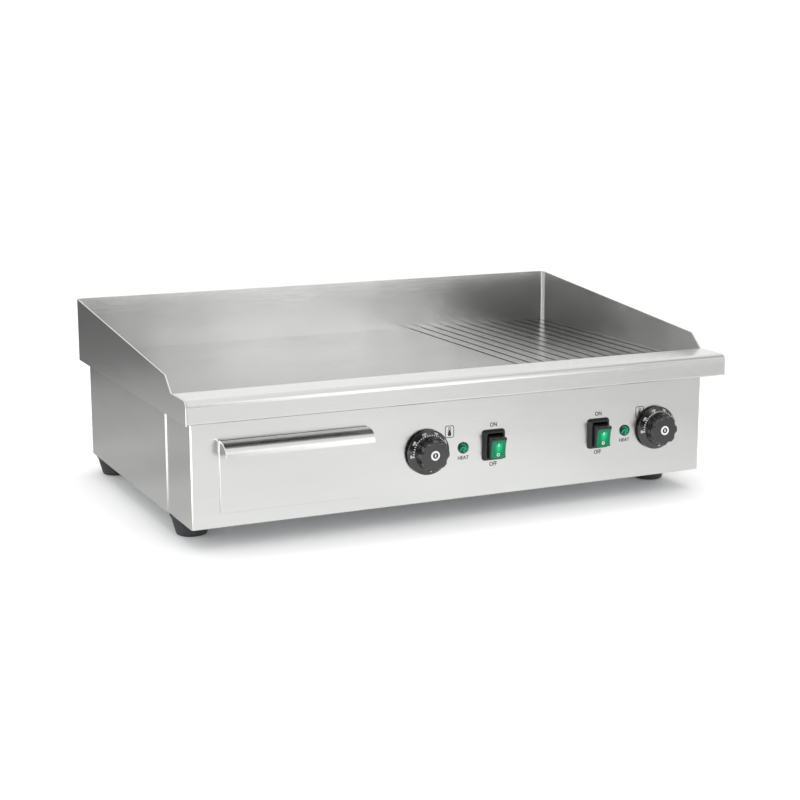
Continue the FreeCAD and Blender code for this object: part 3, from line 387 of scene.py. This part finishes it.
FOOT_RUBBER = moulded("foot_rubber", (0.030, 0.031, 0.034), (0.55, 0.75), relief=0.25, fineness=1400.0)
DIAL_BLACK = moulded("dial_black", (0.008, 0.008, 0.009), (0.12, 0.2), relief=0.04, IOR=1.75)
BOOT_RUBBER = moulded("boot_rubber", (0.012, 0.012, 0.013), (0.36, 0.46), relief=0.12)
SWITCH_BLACK = moulded("switch_black", (0.010, 0.010, 0.011), (0.22, 0.3), relief=0.05)
PRINT_WHITE = moulded("print_white", (0.80, 0.80, 0.79), (0.4, 0.5), relief=0.02)
PRINT_BLACK = moulded("print_black", (0.012, 0.012, 0.014), (0.4, 0.5), relief=0.02)
# both green lenses carry a painted glow, an emission
ROCKER_GREEN = translucent_green("rocker_green_lens", (0.0, 0.17, 0.07), (0.0, 0.52, 0.22), 0.35)
LAMP_GREEN = translucent_green("lamp_green_lens", (0.0, 0.06, 0.025), (0.01, 0.45, 0.21), 0.35)

NODE_FINISH = {
    "splash_guard": GUARD_STEEL, "rear_casing": WALL_STEEL, "front_panel": WALL_STEEL,
    "drawer_front": WALL_STEEL, "drawer_tray": WALL_STEEL, "front_nose": NOSE_STEEL,
    "grease_gutter": FOLD_STEEL, "drawer_handle": FOLD_STEEL, "drain_spout": FOLD_STEEL,
    "griddle_plate": PLATE_STEEL, "base_tray": ZINC_SHEET, "drawer_guide": ZINC_SHEET,
    "heat_shield": ZINC_SHEET, "element_clamp_bars": ZINC_SHEET, "bulb_clips": SPRING_STEEL,
    "element_studs": BRIGHT_ZINC, "element_nuts": BRIGHT_ZINC, "foot_bolts": BRIGHT_ZINC,
    "foot_nuts": BRIGHT_ZINC, "hob_screws": BRIGHT_ZINC, "front_panel_screws": BRIGHT_ZINC,
    "handle_rivets": BRIGHT_ZINC, "thermostat_screws": BRIGHT_ZINC, "earth_stud": BRIGHT_ZINC,
    "terminal_block": GLAZED_CERAMIC, "cable_gland": NYLON, "gland_dome_nut": NYLON,
    "gland_locknut": NYLON, "wiring_loom": GLASS_SLEEVE,
}
SIDE_FINISH = {
    "heating_element": ELEMENT_SHEATH, "capillary": COPPER_TUBE, "thermostat": BRIGHT_ZINC,
    "thermostat_shaft": BRIGHT_ZINC, "knob": DIAL_BLACK, "knob_cap": PRINT_WHITE,
    "switch_housing": SWITCH_BLACK, "switch_boot": BOOT_RUBBER, "rocker": SWITCH_BLACK,
    "rocker_lens": ROCKER_GREEN, "pilot_lamp": SWITCH_BLACK, "pilot_lens": LAMP_GREEN,
    "foot_front": FOOT_RUBBER, "foot_rear": FOOT_RUBBER,
}


def finish_nodes():
    """Gives each of the frame's nodes its finish."""
    finishes = dict(NODE_FINISH)
    for side in SIDES:
        finishes.update({f"{node}_{side}": finish for node, finish in SIDE_FINISH.items()})
    for node, piece in frame["nodes"].items():
        for slot in piece.material_slots:
            slot.material = finishes[node]


# ---- dials --------------------------------------------------------------------------------------------
GRIP_R, SKIRT_R, CAP_R = 20.3, 28.0, 6.6
SKIRT_TOP = (21.6, 13.3)          # radius and depth behind the face where the skirt's slope begins
SKIRT_RIM = (27.2, 18.4)
FLUTES, FLUTE_R, FLUTE_AT = 8, 6.6, 24.8
BORE_R, BORE_END = 3.05, 4.7      # of the hole for the shaft, its end measured behind the face
DIAL_CORNERS = 256                # round each ring of the dial
SCALE = [50, 100, 150, 200, 250, 300]
DIVISIONS = 5                     # between two numbers
SCALE_START, SCALE_STEP = 96.0, 39.0          # degrees from the top, to the left, and between two numbers


def grip_outline(angle):
    """Outline of the fluted grip: a circle from which round flutes are cut, blended where they meet. The
    flute's own radius from the middle is the near crossing of a ray with the flute's circle."""
    step = math.tau / FLUTES
    off = (angle / step) % 1.0 - 0.5
    ray = off * step
    inside = np.clip(FLUTE_R**2 - (FLUTE_AT * np.sin(ray))**2, 0, None)
    flute = FLUTE_AT * np.cos(ray) - np.sqrt(inside)
    flute = np.where(np.abs(FLUTE_AT * np.sin(ray)) < FLUTE_R, flute, 40.0)
    sharpness = 2.2
    return -np.log(np.exp(-sharpness * GRIP_R) + np.exp(-sharpness * flute)) / sharpness


def dial(side):
    """One dial. Rings run from the middle of the face out over the grip, down its side, along the sloping
    skirt, round the rim and back under it to the bore. Grip rings follow the fluted outline."""
    body = f"{side}_knob"
    face, back = (corner.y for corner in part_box(f"knob_{side}"))
    centre = middle(f"knob_{side}")
    centre[1] = face
    depth = (back - face) / MM
    crown = [(r, 0.35 * (r / 17.0)**2, 0.0) for r in np.linspace(7.6, 15.0, 5)]
    edge = [(GRIP_R - 3.0 + 3.0 * math.sin(a), 0.4 + 3.0 * (1 - math.cos(a)), 1.0)
            for a in np.linspace(0.1, math.pi / 2, 8)]
    rings = [(0, 0.9, 0), (CAP_R, 0.9, 0), (CAP_R, 0.15, 0), (CAP_R + 0.3, 0.0, 0)] + crown + edge
    rings += [(GRIP_R + 0.1, 8.0, 1), (GRIP_R + 0.2, SKIRT_TOP[1] - 0.5, 1),
              (GRIP_R + 0.5, SKIRT_TOP[1] - 0.1, 1), (SKIRT_TOP[0] - 0.4, SKIRT_TOP[1] - 0.1, 0),
              SKIRT_TOP + (0,), SKIRT_RIM + (0,)]
    rings += [(r, d, 0) for r, d in arc((SKIRT_R - 1.2, SKIRT_RIM[1] + 1.1), 1.2, -60, 0, 6)]
    rings += [(SKIRT_R, depth - 0.3, 0), (SKIRT_R - 0.3, depth, 0), (25.6, depth, 0), (23.0, depth - 2.3, 0),
              (8.5, depth - 4.0, 0), (7.5, depth - 1.0, 0), (BORE_R, depth - 1.0, 0), (BORE_R, BORE_END, 0),
              (0, BORE_END, 0)]
    shares = np.array([ring[2] for ring in rings])

    def radius_at(i, radius, angle):
        return radius + shares[i] * (grip_outline(angle) - GRIP_R)

    points = turned_surface([ring[:2] for ring in rings], centre, DIAL_CORNERS, radius_at)
    piece_from(f"dial_{side}", points, quads_between(len(rings), DIAL_CORNERS), DIAL_BLACK, body,
               [f"knob_{side}"])
    dial_cap(side, centre, body)
    dial_scale(side, centre, body)


def dial_cap(side, centre, body):
    """Cap in the middle of the face: a white ring, a black middle a little lower, and a white index bar."""
    ring = [(3.7, 0.9), (3.7, 0.1), (4.0, -0.1), (5.5, -0.1), (5.8, 0.1), (6.0, 0.5), (6.0, 0.9)]
    points = turned_surface(ring, centre, 72)
    piece_from(f"dial_ring_{side}", points, quads_between(len(ring), 72, close_rows=True), PRINT_WHITE,
               body, [f"knob_cap_{side}"])
    hub = [(0, 0.35), (3.3, 0.35), (3.7, 0.5), (3.7, 0.9), (0, 0.9)]
    piece_from(f"dial_hub_{side}", turned_surface(hub, centre, 48), quads_between(len(hub), 48), DIAL_BLACK,
               body)
    bar = round_rectangle(0.7, 1.9, 0.69)
    levels = [(bar * 0.001, 0.05), (bar * 0.85, 0.05), (bar, 0.15), (bar, 0.4), (bar * 0.001, 0.4)]
    piece_from(f"dial_index_{side}", stacked_outlines(levels, centre), quads_between(len(levels), len(bar)),
               PRINT_WHITE, body)


def on_skirt(across, out, lift):
    """Points on the dial's sloping skirt, from arc length across at the scale's radius, distance out along
    the slope and height off it. The slope is a straight line from its top to its rim, turned about Y."""
    slope = np.array(SKIRT_RIM) - np.array(SKIRT_TOP)
    slope = slope / np.linalg.norm(slope)
    radius = SKIRT_TOP[0] + out * slope[0] + lift * slope[1]
    depth = SKIRT_TOP[1] + out * slope[1] - lift * slope[0]
    return np.stack([radius * np.sin(across), depth, radius * np.cos(across)], -1)


def dial_scale(side, centre, body):
    """Printed scale on the skirt: five divisions between two numbers, a longer line at each number, the
    numbers themselves outside them, and an off mark at the bottom."""
    lines = np.arange((len(SCALE) - 1) * DIVISIONS + 1)
    turn = np.radians(-SCALE_START + SCALE_STEP / DIVISIONS * lines)
    long_line = lines % DIVISIONS == 0
    turn, long_line = np.append(turn, math.pi * 0.985), np.append(long_line, True)
    half = np.where(long_line, 0.030, 0.023)
    end = np.where(long_line, 2.5, 1.9)
    corner = [(-1, 0), (1, 0), (1, 1), (-1, 1)]
    blocks = np.stack([on_skirt(turn + s * half, 0.35 + e * (end - 0.35), lift)
                       for lift in (0.0, 0.1) for s, e in corner], 1)
    box_faces = np.array([(3, 2, 1, 0), (4, 5, 6, 7), (0, 1, 5, 4), (1, 2, 6, 5), (2, 3, 7, 6), (3, 0, 4, 7)])
    faces = (box_faces[None] + 8 * np.arange(len(turn))[:, None, None]).reshape(-1, 4)
    piece_from(f"dial_ticks_{side}", blocks.reshape(-1, 3) * MM + centre, faces, PRINT_WHITE, body)
    for i, number in enumerate(SCALE):
        at = math.radians(-SCALE_START + SCALE_STEP * i)
        text_on(f"dial_number_{side}_{number}", str(number), 2.7, PRINT_WHITE, body,
                lambda x, z, lift, at=at: on_skirt(at + x / 24.5, 4.3 + z, lift) * MM + centre)


TEXT_RISE = 0.04                  # half the thickness of the lettering


def text_on(name, words, height, finish, body, place, bold=0.1):
    """Thin raised lettering, as a mesh whose flat x, z and lift in millimetres go through a placing rule."""
    curve = bpy.data.curves.new(name + "_text", "FONT")
    curve.body = words
    curve.align_x, curve.align_y = "CENTER", "CENTER"
    curve.size, curve.extrude, curve.resolution_u, curve.offset = height * 1.4, TEXT_RISE, 3, bold
    holder = bpy.data.objects.new(name + "_text", curve)
    bpy.context.scene.collection.objects.link(holder)
    flat = bpy.data.meshes.new_from_object(holder.evaluated_get(bpy.context.evaluated_depsgraph_get()))
    corners = np.zeros(len(flat.vertices) * 3)
    flat.vertices.foreach_get("co", corners)
    corners = corners.reshape(-1, 3)
    faces = [tuple(polygon.vertices) for polygon in flat.polygons]
    bpy.data.objects.remove(holder)
    bpy.data.meshes.remove(flat)
    bpy.data.curves.remove(curve)
    points = place(corners[:, 0], corners[:, 1], corners[:, 2] + TEXT_RISE)
    piece_from(name, points, faces, finish, body)


# ---- rocker switches ----------------------------------------------------------------------------------
def switch(side):
    """Rubber boot, rocker and lens of one switch."""
    x, _, z = middle(f"switch_housing_{side}")
    foot = np.array([x, PANEL_Y, z])
    outline = [(16.0, 19.5, 4.2, 0.0), (16.0, 19.5, 4.2, -1.1), (15.7, 19.2, 4.0, -1.6),
               (13.6, 17.8, 3.2, -4.9), (13.2, 17.5, 3.0, -5.5), (12.6, 17.0, 2.7, -5.9),
               (11.5, 15.9, 1.9, -6.0), (11.0, 15.4, 1.5, -5.8), (10.85, 15.25, 1.3, -5.3),
               (10.85, 15.25, 1.3, 0.0)]
    levels = [(round_rectangle(w, h, r), depth) for w, h, r, depth in outline]
    piece_from(f"boot_{side}", stacked_outlines(levels, foot),
               quads_between(len(levels), len(levels[0][0]), close_rows=True), BOOT_RUBBER, "cabinet",
               [f"switch_boot_{side}"])
    rocker(side, x)


ROCKER_FACE, ROCKER_DISH = -15.6, 2.0    # depth at the middle of the face, and its dishing
ROCKER_HALF_W, ROCKER_HALF_H = 10.5, 13.2
ROCKER_REST = 8.0                        # degrees that the rocker leans at off


def rocker_face(z):
    """Depth of the rocker's dished face: a parabola that is deepest at the middle."""
    return ROCKER_FACE - ROCKER_DISH * (z / ROCKER_HALF_H)**2


def rocker(side, x):
    """Rocker body, lens and marks, all leaning at off about the pivot. The body is one closed side view
    carried across in x, drawn in a little at both ends."""
    pivot = np.array(JOINTS[f"{side}_rocker_tilt"]["pos_m"])
    pivot[0] = x
    body = f"{side}_rocker"
    z = np.linspace(ROCKER_HALF_H - 0.8, 0.8 - ROCKER_HALF_H, 15)
    front = np.stack([rocker_face(z), z], -1)
    corner_y, corner_z = rocker_face(ROCKER_HALF_H) + 1.2, ROCKER_HALF_H - 1.0
    low = arc((corner_y, -corner_z), 1.1, 215, 268, 5)
    high = arc((corner_y, corner_z), 1.1, 92, 145, 5)
    back = np.array([(-8, -13.8), (5, -12.1), (5, 12.1), (-8, 13.8)])
    view = np.concatenate([front, low, back, high])
    stations = [(-ROCKER_HALF_W, 0.9), (-ROCKER_HALF_W, 0.5), (-10.3, 0.15), (-9.9, 0.0), (9.9, 0.0),
                (10.3, 0.15), (ROCKER_HALF_W, 0.5), (ROCKER_HALF_W, 0.9)]
    heart = np.array([-5.5, 0.0])
    shrink = 1 - np.array([inset for _, inset in stations])[:, None, None] / 13.0
    across = np.broadcast_to(np.array([sx for sx, _ in stations])[:, None], (len(stations), len(view)))
    flat = heart + (view - heart)[None] * shrink
    rings = np.stack([across, flat[..., 0], flat[..., 1]], -1)
    ends = [np.broadcast_to([sx, *heart], (1, len(view), 3)) for sx in (-ROCKER_HALF_W, ROCKER_HALF_W)]
    rings = np.concatenate([ends[0], rings, ends[1]])
    points = tilted(rings * MM + pivot, pivot, ROCKER_REST)
    piece_from(f"rocker_body_{side}", points, quads_between(len(rings), len(view)), SWITCH_BLACK, body,
               [f"rocker_{side}"])
    lens(side, body, pivot)


def lens(side, body, pivot):
    """Green lens on the rocker's face: rounded outlines that draw in as they rise, then run to the middle,
    all following the dished face; and its two raised marks."""
    middle_z, half_w, half_h = -0.9, 9.9, 11.7
    insets = [(0.0, 0.9), (0.0, -0.05), (0.25, -0.4), (0.7, -0.6), (1.3, -0.62), (2.2, -0.45), (3.0, -0.4),
              (4.0, -0.4), (5.0, -0.4), (6.0, -0.4), (7.0, -0.4), (8.0, -0.4), (9.0, -0.4)]
    rings = []
    for inset, lift in insets:
        ring = round_rectangle(half_w - inset, half_h - inset, max(3.2 - inset, 0.4)) + (0, middle_z)
        rings.append(np.stack([ring[:, 0], rocker_face(ring[:, 1]) + lift, ring[:, 1]], -1))
    ends = [np.broadcast_to([0, rocker_face(middle_z) + lift, middle_z], rings[0].shape)
            for lift in (insets[0][1], insets[-1][1])]
    rings = np.array([ends[0]] + rings + [ends[1]])
    points = tilted(rings * MM + pivot, pivot, ROCKER_REST)
    window = piece_from(f"lens_{side}", points, quads_between(len(rings), rings.shape[1]), ROCKER_GREEN, body,
                        [f"rocker_lens_{side}"])
    # painted glow, brightest round the middle of the lens
    heart = pivot + np.array([0.4, 0, middle_z + 0.6]) * MM
    glow_field(window, lambda p: np.exp(-((p[:, 0] - heart[0]) / (4.6 * MM))**4
                                        - ((p[:, 2] - heart[2]) / (6.6 * MM))**4))
    raised_mark(f"mark_on_{side}", [round_rectangle(0.55, 2.1, 0.5), round_rectangle(0.01, 1.5, 0.009)],
                4.6, body, pivot)
    raised_mark(f"mark_off_{side}", [round_rectangle(2.1, 2.1, 2.09), round_rectangle(1.25, 1.25, 1.24)],
                -8.0, body, pivot)


def raised_mark(name, outlines, at_z, body, pivot):
    """Flat mark between an outer and an inner outline, a little proud of the lens and following its face."""
    outer, inner = (outline + (0, at_z) for outline in outlines)
    rings = []
    for ring, lift in ((outer, -0.35), (outer, -0.48), (inner, -0.48), (inner, -0.35)):
        rings.append(np.stack([ring[:, 0], rocker_face(ring[:, 1]) + lift, ring[:, 1]], -1))
    points = tilted(np.array(rings) * MM + pivot, pivot, ROCKER_REST)
    piece_from(name, points, quads_between(4, len(outer), close_rows=True), PRINT_WHITE, body)


# ---- pilot lamps --------------------------------------------------------------------------------------
def pilot_lens(side):
    """Domed lens cut with eight facets: the dome's radius dips half way between two ribs, most on its
    shoulder and not at all at the rim and the middle. Its painted glow is a four-armed swirl."""
    low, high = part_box(f"pilot_lens_{side}")
    x, _, z = middle(f"pilot_lens_{side}")
    rim = (high.x - low.x) / 2 / MM
    rise = 4.2
    lean = np.linspace(0, math.pi / 2, 12)
    profile = [(0, 0.8), (rim, 0.8)] + [(rim * math.cos(a)**0.85, -rise * math.sin(a)) for a in lean[:-1]]
    profile.append((0, -rise))
    dip = [0, 0] + [0.16 * math.sin(2 * a) for a in lean[:-1]] + [0]

    def radius_at(i, radius, angle):
        return radius * (1 - dip[i] * np.abs(np.sin(4 * angle)))

    centre = np.array([x, low.y + rise * MM, z])
    points = turned_surface(profile, centre, 96, radius_at)
    dome = piece_from(f"lamp_lens_{side}", points, quads_between(len(profile), 96), LAMP_GREEN, "cabinet",
                      [f"pilot_lens_{side}"], sharp=25.0)

    # painted glow: four arms that swirl out from the middle
    def star(places):
        across, up = places[:, 0] - x, places[:, 2] - z
        reach = np.hypot(across, up) / (rim * MM)
        arms = np.clip(0.25 + 0.75 * np.cos(4 * np.arctan2(up, across) - 9 * reach), 0, 1)
        return arms * (1 - 0.6 * reach**4)

    glow_field(dome, star)


# ---- printed marks on the panel -----------------------------------------------------------------------
def on_panel(x, z, narrow):
    """Placing rule for flat marks on the panel's front about a point, with their widths scaled."""
    def place(dx, dz, lift):
        return np.stack([x + dx * narrow * MM, np.full(len(dx), PANEL_Y) - lift * MM, z + dz * MM], -1)
    return place


def panel_marks():
    """ON and OFF above and below each switch, HEAT under each lamp, and a thermometer sign by each dial."""
    for side in SIDES:
        x = middle(f"switch_boot_{side}")[0]
        text_on(f"print_on_{side}", "ON", 5.4, PRINT_BLACK, "cabinet",
                on_panel(x, CONTROL_Z + 25.2 * MM, 0.84), 0.14)
        text_on(f"print_off_{side}", "OFF", 5.4, PRINT_BLACK, "cabinet",
                on_panel(x, CONTROL_Z - 24.8 * MM, 0.80), 0.14)
        x = middle(f"pilot_lens_{side}")[0]
        text_on(f"print_heat_{side}", "HEAT", 4.4, PRINT_BLACK, "cabinet",
                on_panel(x, CONTROL_Z - 12.8 * MM, 1.0), 0.12)
        x = middle(f"knob_{side}")[0] + (31.0 if side == "left" else -23.6) * MM
        thermometer(side, x, CONTROL_Z + 22.0 * MM)


INK = 0.06                        # thickness of the printed signs


def thermometer(side, x, z):
    """Sign of a thermometer in a rounded frame. The frame lies between two outlines; the filled shape is a
    stem whose width swells to a bulb at the foot, and an open tube stands above it."""
    centre = np.array([x, PANEL_Y, z])
    outer, inner = round_rectangle(6.2, 7.7, 3.0), round_rectangle(5.3, 6.8, 2.1)
    levels = [(outer, 0.0), (outer, -INK), (inner, -INK), (inner, 0.0)]
    piece_from(f"print_frame_{side}", stacked_outlines(levels, centre),
               quads_between(4, len(outer), close_rows=True), PRINT_BLACK, "cabinet")
    angle = np.linspace(0, math.tau, 48, endpoint=False)
    bulb = np.stack([2.4 * np.cos(angle), 2.4 * np.sin(angle) - 3.2], -1)
    stem = bulb.copy()
    up = bulb[:, 1] > -2.2
    stem[up] = np.stack([np.clip(bulb[up, 0], -1.3, 1.3), np.full(up.sum(), 1.4)], -1)
    levels = [(stem * 0.001, 0.0), (stem, 0.0), (stem, -INK), (stem * 0.001, -INK)]
    piece_from(f"print_bulb_{side}", stacked_outlines(levels, centre), quads_between(4, len(stem)),
               PRINT_BLACK, "cabinet")
    outer, inner = round_rectangle(1.6, 2.2, 1.5) + (0, 3.5), round_rectangle(0.8, 1.4, 0.7) + (0, 3.5)
    levels = [(outer, 0.0), (outer, -INK), (inner, -INK), (inner, 0.0)]
    piece_from(f"print_tube_{side}", stacked_outlines(levels, centre),
               quads_between(4, len(outer), close_rows=True), PRINT_BLACK, "cabinet")


# ---- feet ---------------------------------------------------------------------------------------------
def rubber_foot(node):
    """Rubber foot: a profile turned about the vertical, with a lip at the top, a leaning side with three
    shallow rings, a rounded tread with one groove, and the bolt's recess."""
    x, y, _ = middle(node)
    top, seat = 26.0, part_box(node)[1].z / MM

    def side_r(height):
        return 19.0 + 7.0 * height / top

    rings = [(3.1, seat), (22.0, seat), (22.0, top), (side_r(top), top), (side_r(top), top - 2.2),
             (side_r(top - 2.6) - 0.5, top - 2.8)]
    for h in (18.0, 13.0, 8.0):
        rings += [(side_r(h + 0.8) - 0.5, h + 0.8), (side_r(h) - 0.95, h), (side_r(h - 0.8) - 0.5, h - 0.8)]
    rings += [(r, h) for r, h in arc((16.2, 3.0), 3.0, 0, -90, 7)]
    rings += [(14.2, 0.0), (13.6, 0.7), (11.6, 0.7), (11.0, 0.0), (8.8, 0.0), (8.0, 0.8), (8.0, 16.0),
              (3.1, 16.0)]
    angle = np.linspace(0, math.tau, 72, endpoint=False)
    profile = np.array(rings)
    points = np.stack([profile[:, :1] * np.cos(angle), profile[:, :1] * np.sin(angle),
                       np.broadcast_to(profile[:, 1:], (len(rings), len(angle)))], -1) * MM + (x, y, 0)
    piece_from(f"rubber_{node}", points, quads_between(len(rings), len(angle), close_rows=True),
               FOOT_RUBBER, "cabinet", [node], sharp=50.0)


# ---- stage --------------------------------------------------------------------------------------------
WORLD_LEVEL = 1.03
# each card: its name, its corners, the axis along which its glow changes, the (place, glow) stops, a second
# axis with its own stops, and how cloudy it is
CARDS = [
    ("card_left_floor",
     [(-2.6, -0.24, 0.002), (-0.36, -0.24, 0.002), (-0.36, 1.5, 0.002), (-2.6, 1.5, 0.002)],
     1, [(-0.24, 0.64), (0.25, 0.49), (0.55, 0.44), (0.85, 0.35), (0.98, 0.18), (1.5, 0.15)], None, 0.35),
    ("card_left_back", [(-2.6, 1.5, 0.0), (-0.1, 1.5, 0.0), (-0.1, 1.5, 1.8), (-2.6, 1.5, 1.8)],
     2, [(0.0, 0.12), (0.3, 0.28), (0.55, 0.55), (1.8, 0.6)], None, 0.0),
    ("card_front", [(-5.0, -3.0, 0.0), (5.0, -3.0, 0.0), (5.0, -3.0, 2.6), (-5.0, -3.0, 2.6)],
     0, [(-5.0, 0.06), (-0.3, 0.06), (0.45, 0.32), (0.65, 0.95), (0.85, 1.8), (1.60, 1.85), (1.72, 1.5),
         (1.88, 0.4), (2.05, 0.12), (2.3, 0.9), (5.0, 1.0)], None, 0.0),
    ("card_front_floor",
     [(-1.2, -1.3, 0.002), (2.2, -1.3, 0.002), (2.2, -0.26, 0.002), (-1.2, -0.26, 0.002)],
     0, [(-1.2, 1.0), (-0.3, 1.04), (0.15, 1.08), (0.35, 0.91), (0.7, 0.76), (2.2, 0.7)],
     (1, [(-1.3, 0.76), (-0.95, 0.86), (-0.5, 1.0), (-0.26, 1.02)]), 0.1),
    ("card_left", [(-1.75, -0.55, 0.03), (-1.0, -1.25, 0.03), (-1.0, -1.25, 0.75), (-1.75, -0.55, 0.75)],
     2, [(0.03, 2.6), (0.75, 2.2)], None, 0.0),
    ("card_left_low",
     [(-1.25, -0.95, 0.003), (-0.43, -0.95, 0.003), (-0.43, -0.33, 0.003), (-1.25, -0.33, 0.003)],
     0, [(-1.25, 3.2), (-0.43, 3.2)], None, 0.0),
]
CARD_GAIN = 16.0                  # brightest glow that a card's ramp can hold
SHADE_WAY = (0.75, -0.2, 0.63)    # direction of the darker quarter overhead
SHADE_START, SHADE_FULL, SHADE_LEVEL = 0.90, 0.975, 0.45      # cosines where it begins and is full, its level
FLOOR_HALF = 14.0
LIGHT_PLACE, LIGHT_SIZE, LIGHT_WATTS = (0.1, -0.3, 2.4), (2.4, 1.6), 22.0


def ramp(tree, source, stops):
    """Level over a value from stops of (place, level), as a colour ramp that holds the levels divided by the
    gain and a multiplication that brings them back."""
    span = stops[-1][0] - stops[0][0]
    share = add(tree, "ShaderNodeMapRange", [("Value", source), ("From Min", stops[0][0]),
                                             ("From Max", stops[-1][0])]).outputs["Result"]
    node = add(tree, "ShaderNodeValToRGB", [("Fac", share)])
    bands = node.color_ramp
    bands.interpolation = "EASE"
    while len(bands.elements) < len(stops):
        bands.elements.new(0.5)
    for element, (place, level) in zip(bands.elements, stops):
        element.position = (place - stops[0][0]) / span
        element.color = (level / CARD_GAIN,) * 3 + (1,)
    return math_node(tree, "MULTIPLY", node.outputs["Color"], CARD_GAIN)


def reflection_card(name, corners, axis, stops, second, clouds):
    """Glowing card that only glossy rays meet: it shapes what the steel mirrors and casts no light."""
    mesh = bpy.data.meshes.new(name)
    mesh.from_pydata(corners, [], [(0, 1, 2, 3)])
    card = bpy.data.objects.new(name, mesh)
    bpy.context.scene.collection.objects.link(card)
    material = bpy.data.materials.new(name)
    material.use_nodes = True
    tree = material.node_tree
    tree.nodes.clear()
    place = add(tree, "ShaderNodeTexCoord").outputs["Object"]
    parts = add(tree, "ShaderNodeSeparateXYZ", [(0, place)]).outputs
    level = ramp(tree, parts[axis], stops)
    if second:
        level = math_node(tree, "MULTIPLY", level, ramp(tree, parts[second[0]], second[1]))
    if clouds:
        noise = add(tree, "ShaderNodeTexNoise",
                    [("Vector", place), ("Scale", 5.0), ("Detail", 2.0)]).outputs["Fac"]
        level = math_node(tree, "MULTIPLY", level, remap(tree, noise, 1.0 - clouds, 1.0 + clouds))
    glow = add(tree, "ShaderNodeEmission", [("Strength", level)])
    result = add(tree, "ShaderNodeOutputMaterial", [("Surface", glow.outputs[0])])
    result.is_active_output = True
    mesh.materials.append(material)
    card.visible_camera = card.visible_diffuse = card.visible_transmission = card.visible_shadow = False


def studio():
    """Pale floor, bright even surroundings with one darker quarter overhead, a large soft light above, and
    the cards that the steel mirrors."""
    mesh = bpy.data.meshes.new("floor")
    corners = [(sx * FLOOR_HALF, sy * FLOOR_HALF, 0) for sx, sy in ((-1, -1), (1, -1), (1, 1), (-1, 1))]
    mesh.from_pydata(corners, [], [(0, 1, 2, 3)])
    floor = bpy.data.objects.new("floor", mesh)
    bpy.context.scene.collection.objects.link(floor)
    material, _, shader = new_material("floor_paper", Roughness=0.9, Emission_Color=(1, 1, 1, 1),
                                       Emission_Strength=0.06)
    shader.inputs["Base Color"].default_value = (0.985, 0.985, 0.985, 1)
    mesh.materials.append(material)
    for values in CARDS:
        reflection_card(*values)

    world = bpy.data.worlds.new("studio")
    world.use_nodes = True
    bpy.context.scene.world = world
    tree = world.node_tree
    direction = add(tree, "ShaderNodeTexCoord").outputs["Generated"]
    facing = add(tree, "ShaderNodeVectorMath", [(0, direction), (1, Vector(SHADE_WAY).normalized())],
                 operation="DOT_PRODUCT").outputs["Value"]
    shade = add(tree, "ShaderNodeMapRange",
                [("Value", facing), ("From Min", SHADE_START), ("From Max", SHADE_FULL),
                 ("To Min", WORLD_LEVEL), ("To Max", WORLD_LEVEL * SHADE_LEVEL)],
                interpolation_type="SMOOTHSTEP").outputs["Result"]
    tree.links.new(shade, tree.nodes["Background"].inputs["Strength"])
    tree.nodes["Background"].inputs["Color"].default_value = (1, 1, 1, 1)

    light = bpy.data.lights.new("overhead", "AREA")
    light.shape, light.energy = "RECTANGLE", LIGHT_WATTS
    light.size, light.size_y = LIGHT_SIZE
    holder = bpy.data.objects.new("overhead", light)
    holder.location = LIGHT_PLACE
    holder.visible_glossy = False
    bpy.context.scene.collection.objects.link(holder)


AZIMUTH, ELEVATION = math.radians(-25.125), math.radians(11.526)
CAMERA_REACH = 2.22606            # from the camera to the point it looks at
TARGET_X, TARGET_BEHIND_NOSE, TARGET_Z = 0.01279, 0.24266, 0.110


def camera():
    """Camera at the reference viewing angle, a little above the griddle and to its left."""
    back = Vector((math.sin(AZIMUTH) * math.cos(ELEVATION), -math.cos(AZIMUTH) * math.cos(ELEVATION),
                   math.sin(ELEVATION)))
    data = bpy.data.cameras.new("camera")
    data.sensor_width, data.lens = 36.0, 74.417
    holder = bpy.data.objects.new("camera", data)
    target = Vector((TARGET_X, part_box("front_nose")[0].y + TARGET_BEHIND_NOSE, TARGET_Z))
    holder.location = target + back * CAMERA_REACH
    holder.rotation_mode = "QUATERNION"
    holder.rotation_quaternion = (-back).to_track_quat("-Z", "Y")
    bpy.context.scene.collection.objects.link(holder)
    bpy.context.scene.camera = holder


finish_nodes()
for one_side in SIDES:
    dial(one_side)
    switch(one_side)
    pilot_lens(one_side)
panel_marks()
for foot_node in (f"foot_{end}_{side}" for end in ("front", "rear") for side in SIDES):
    rubber_foot(foot_node)
studio()
camera()
bpy.context.scene.view_settings.view_transform = "Standard"
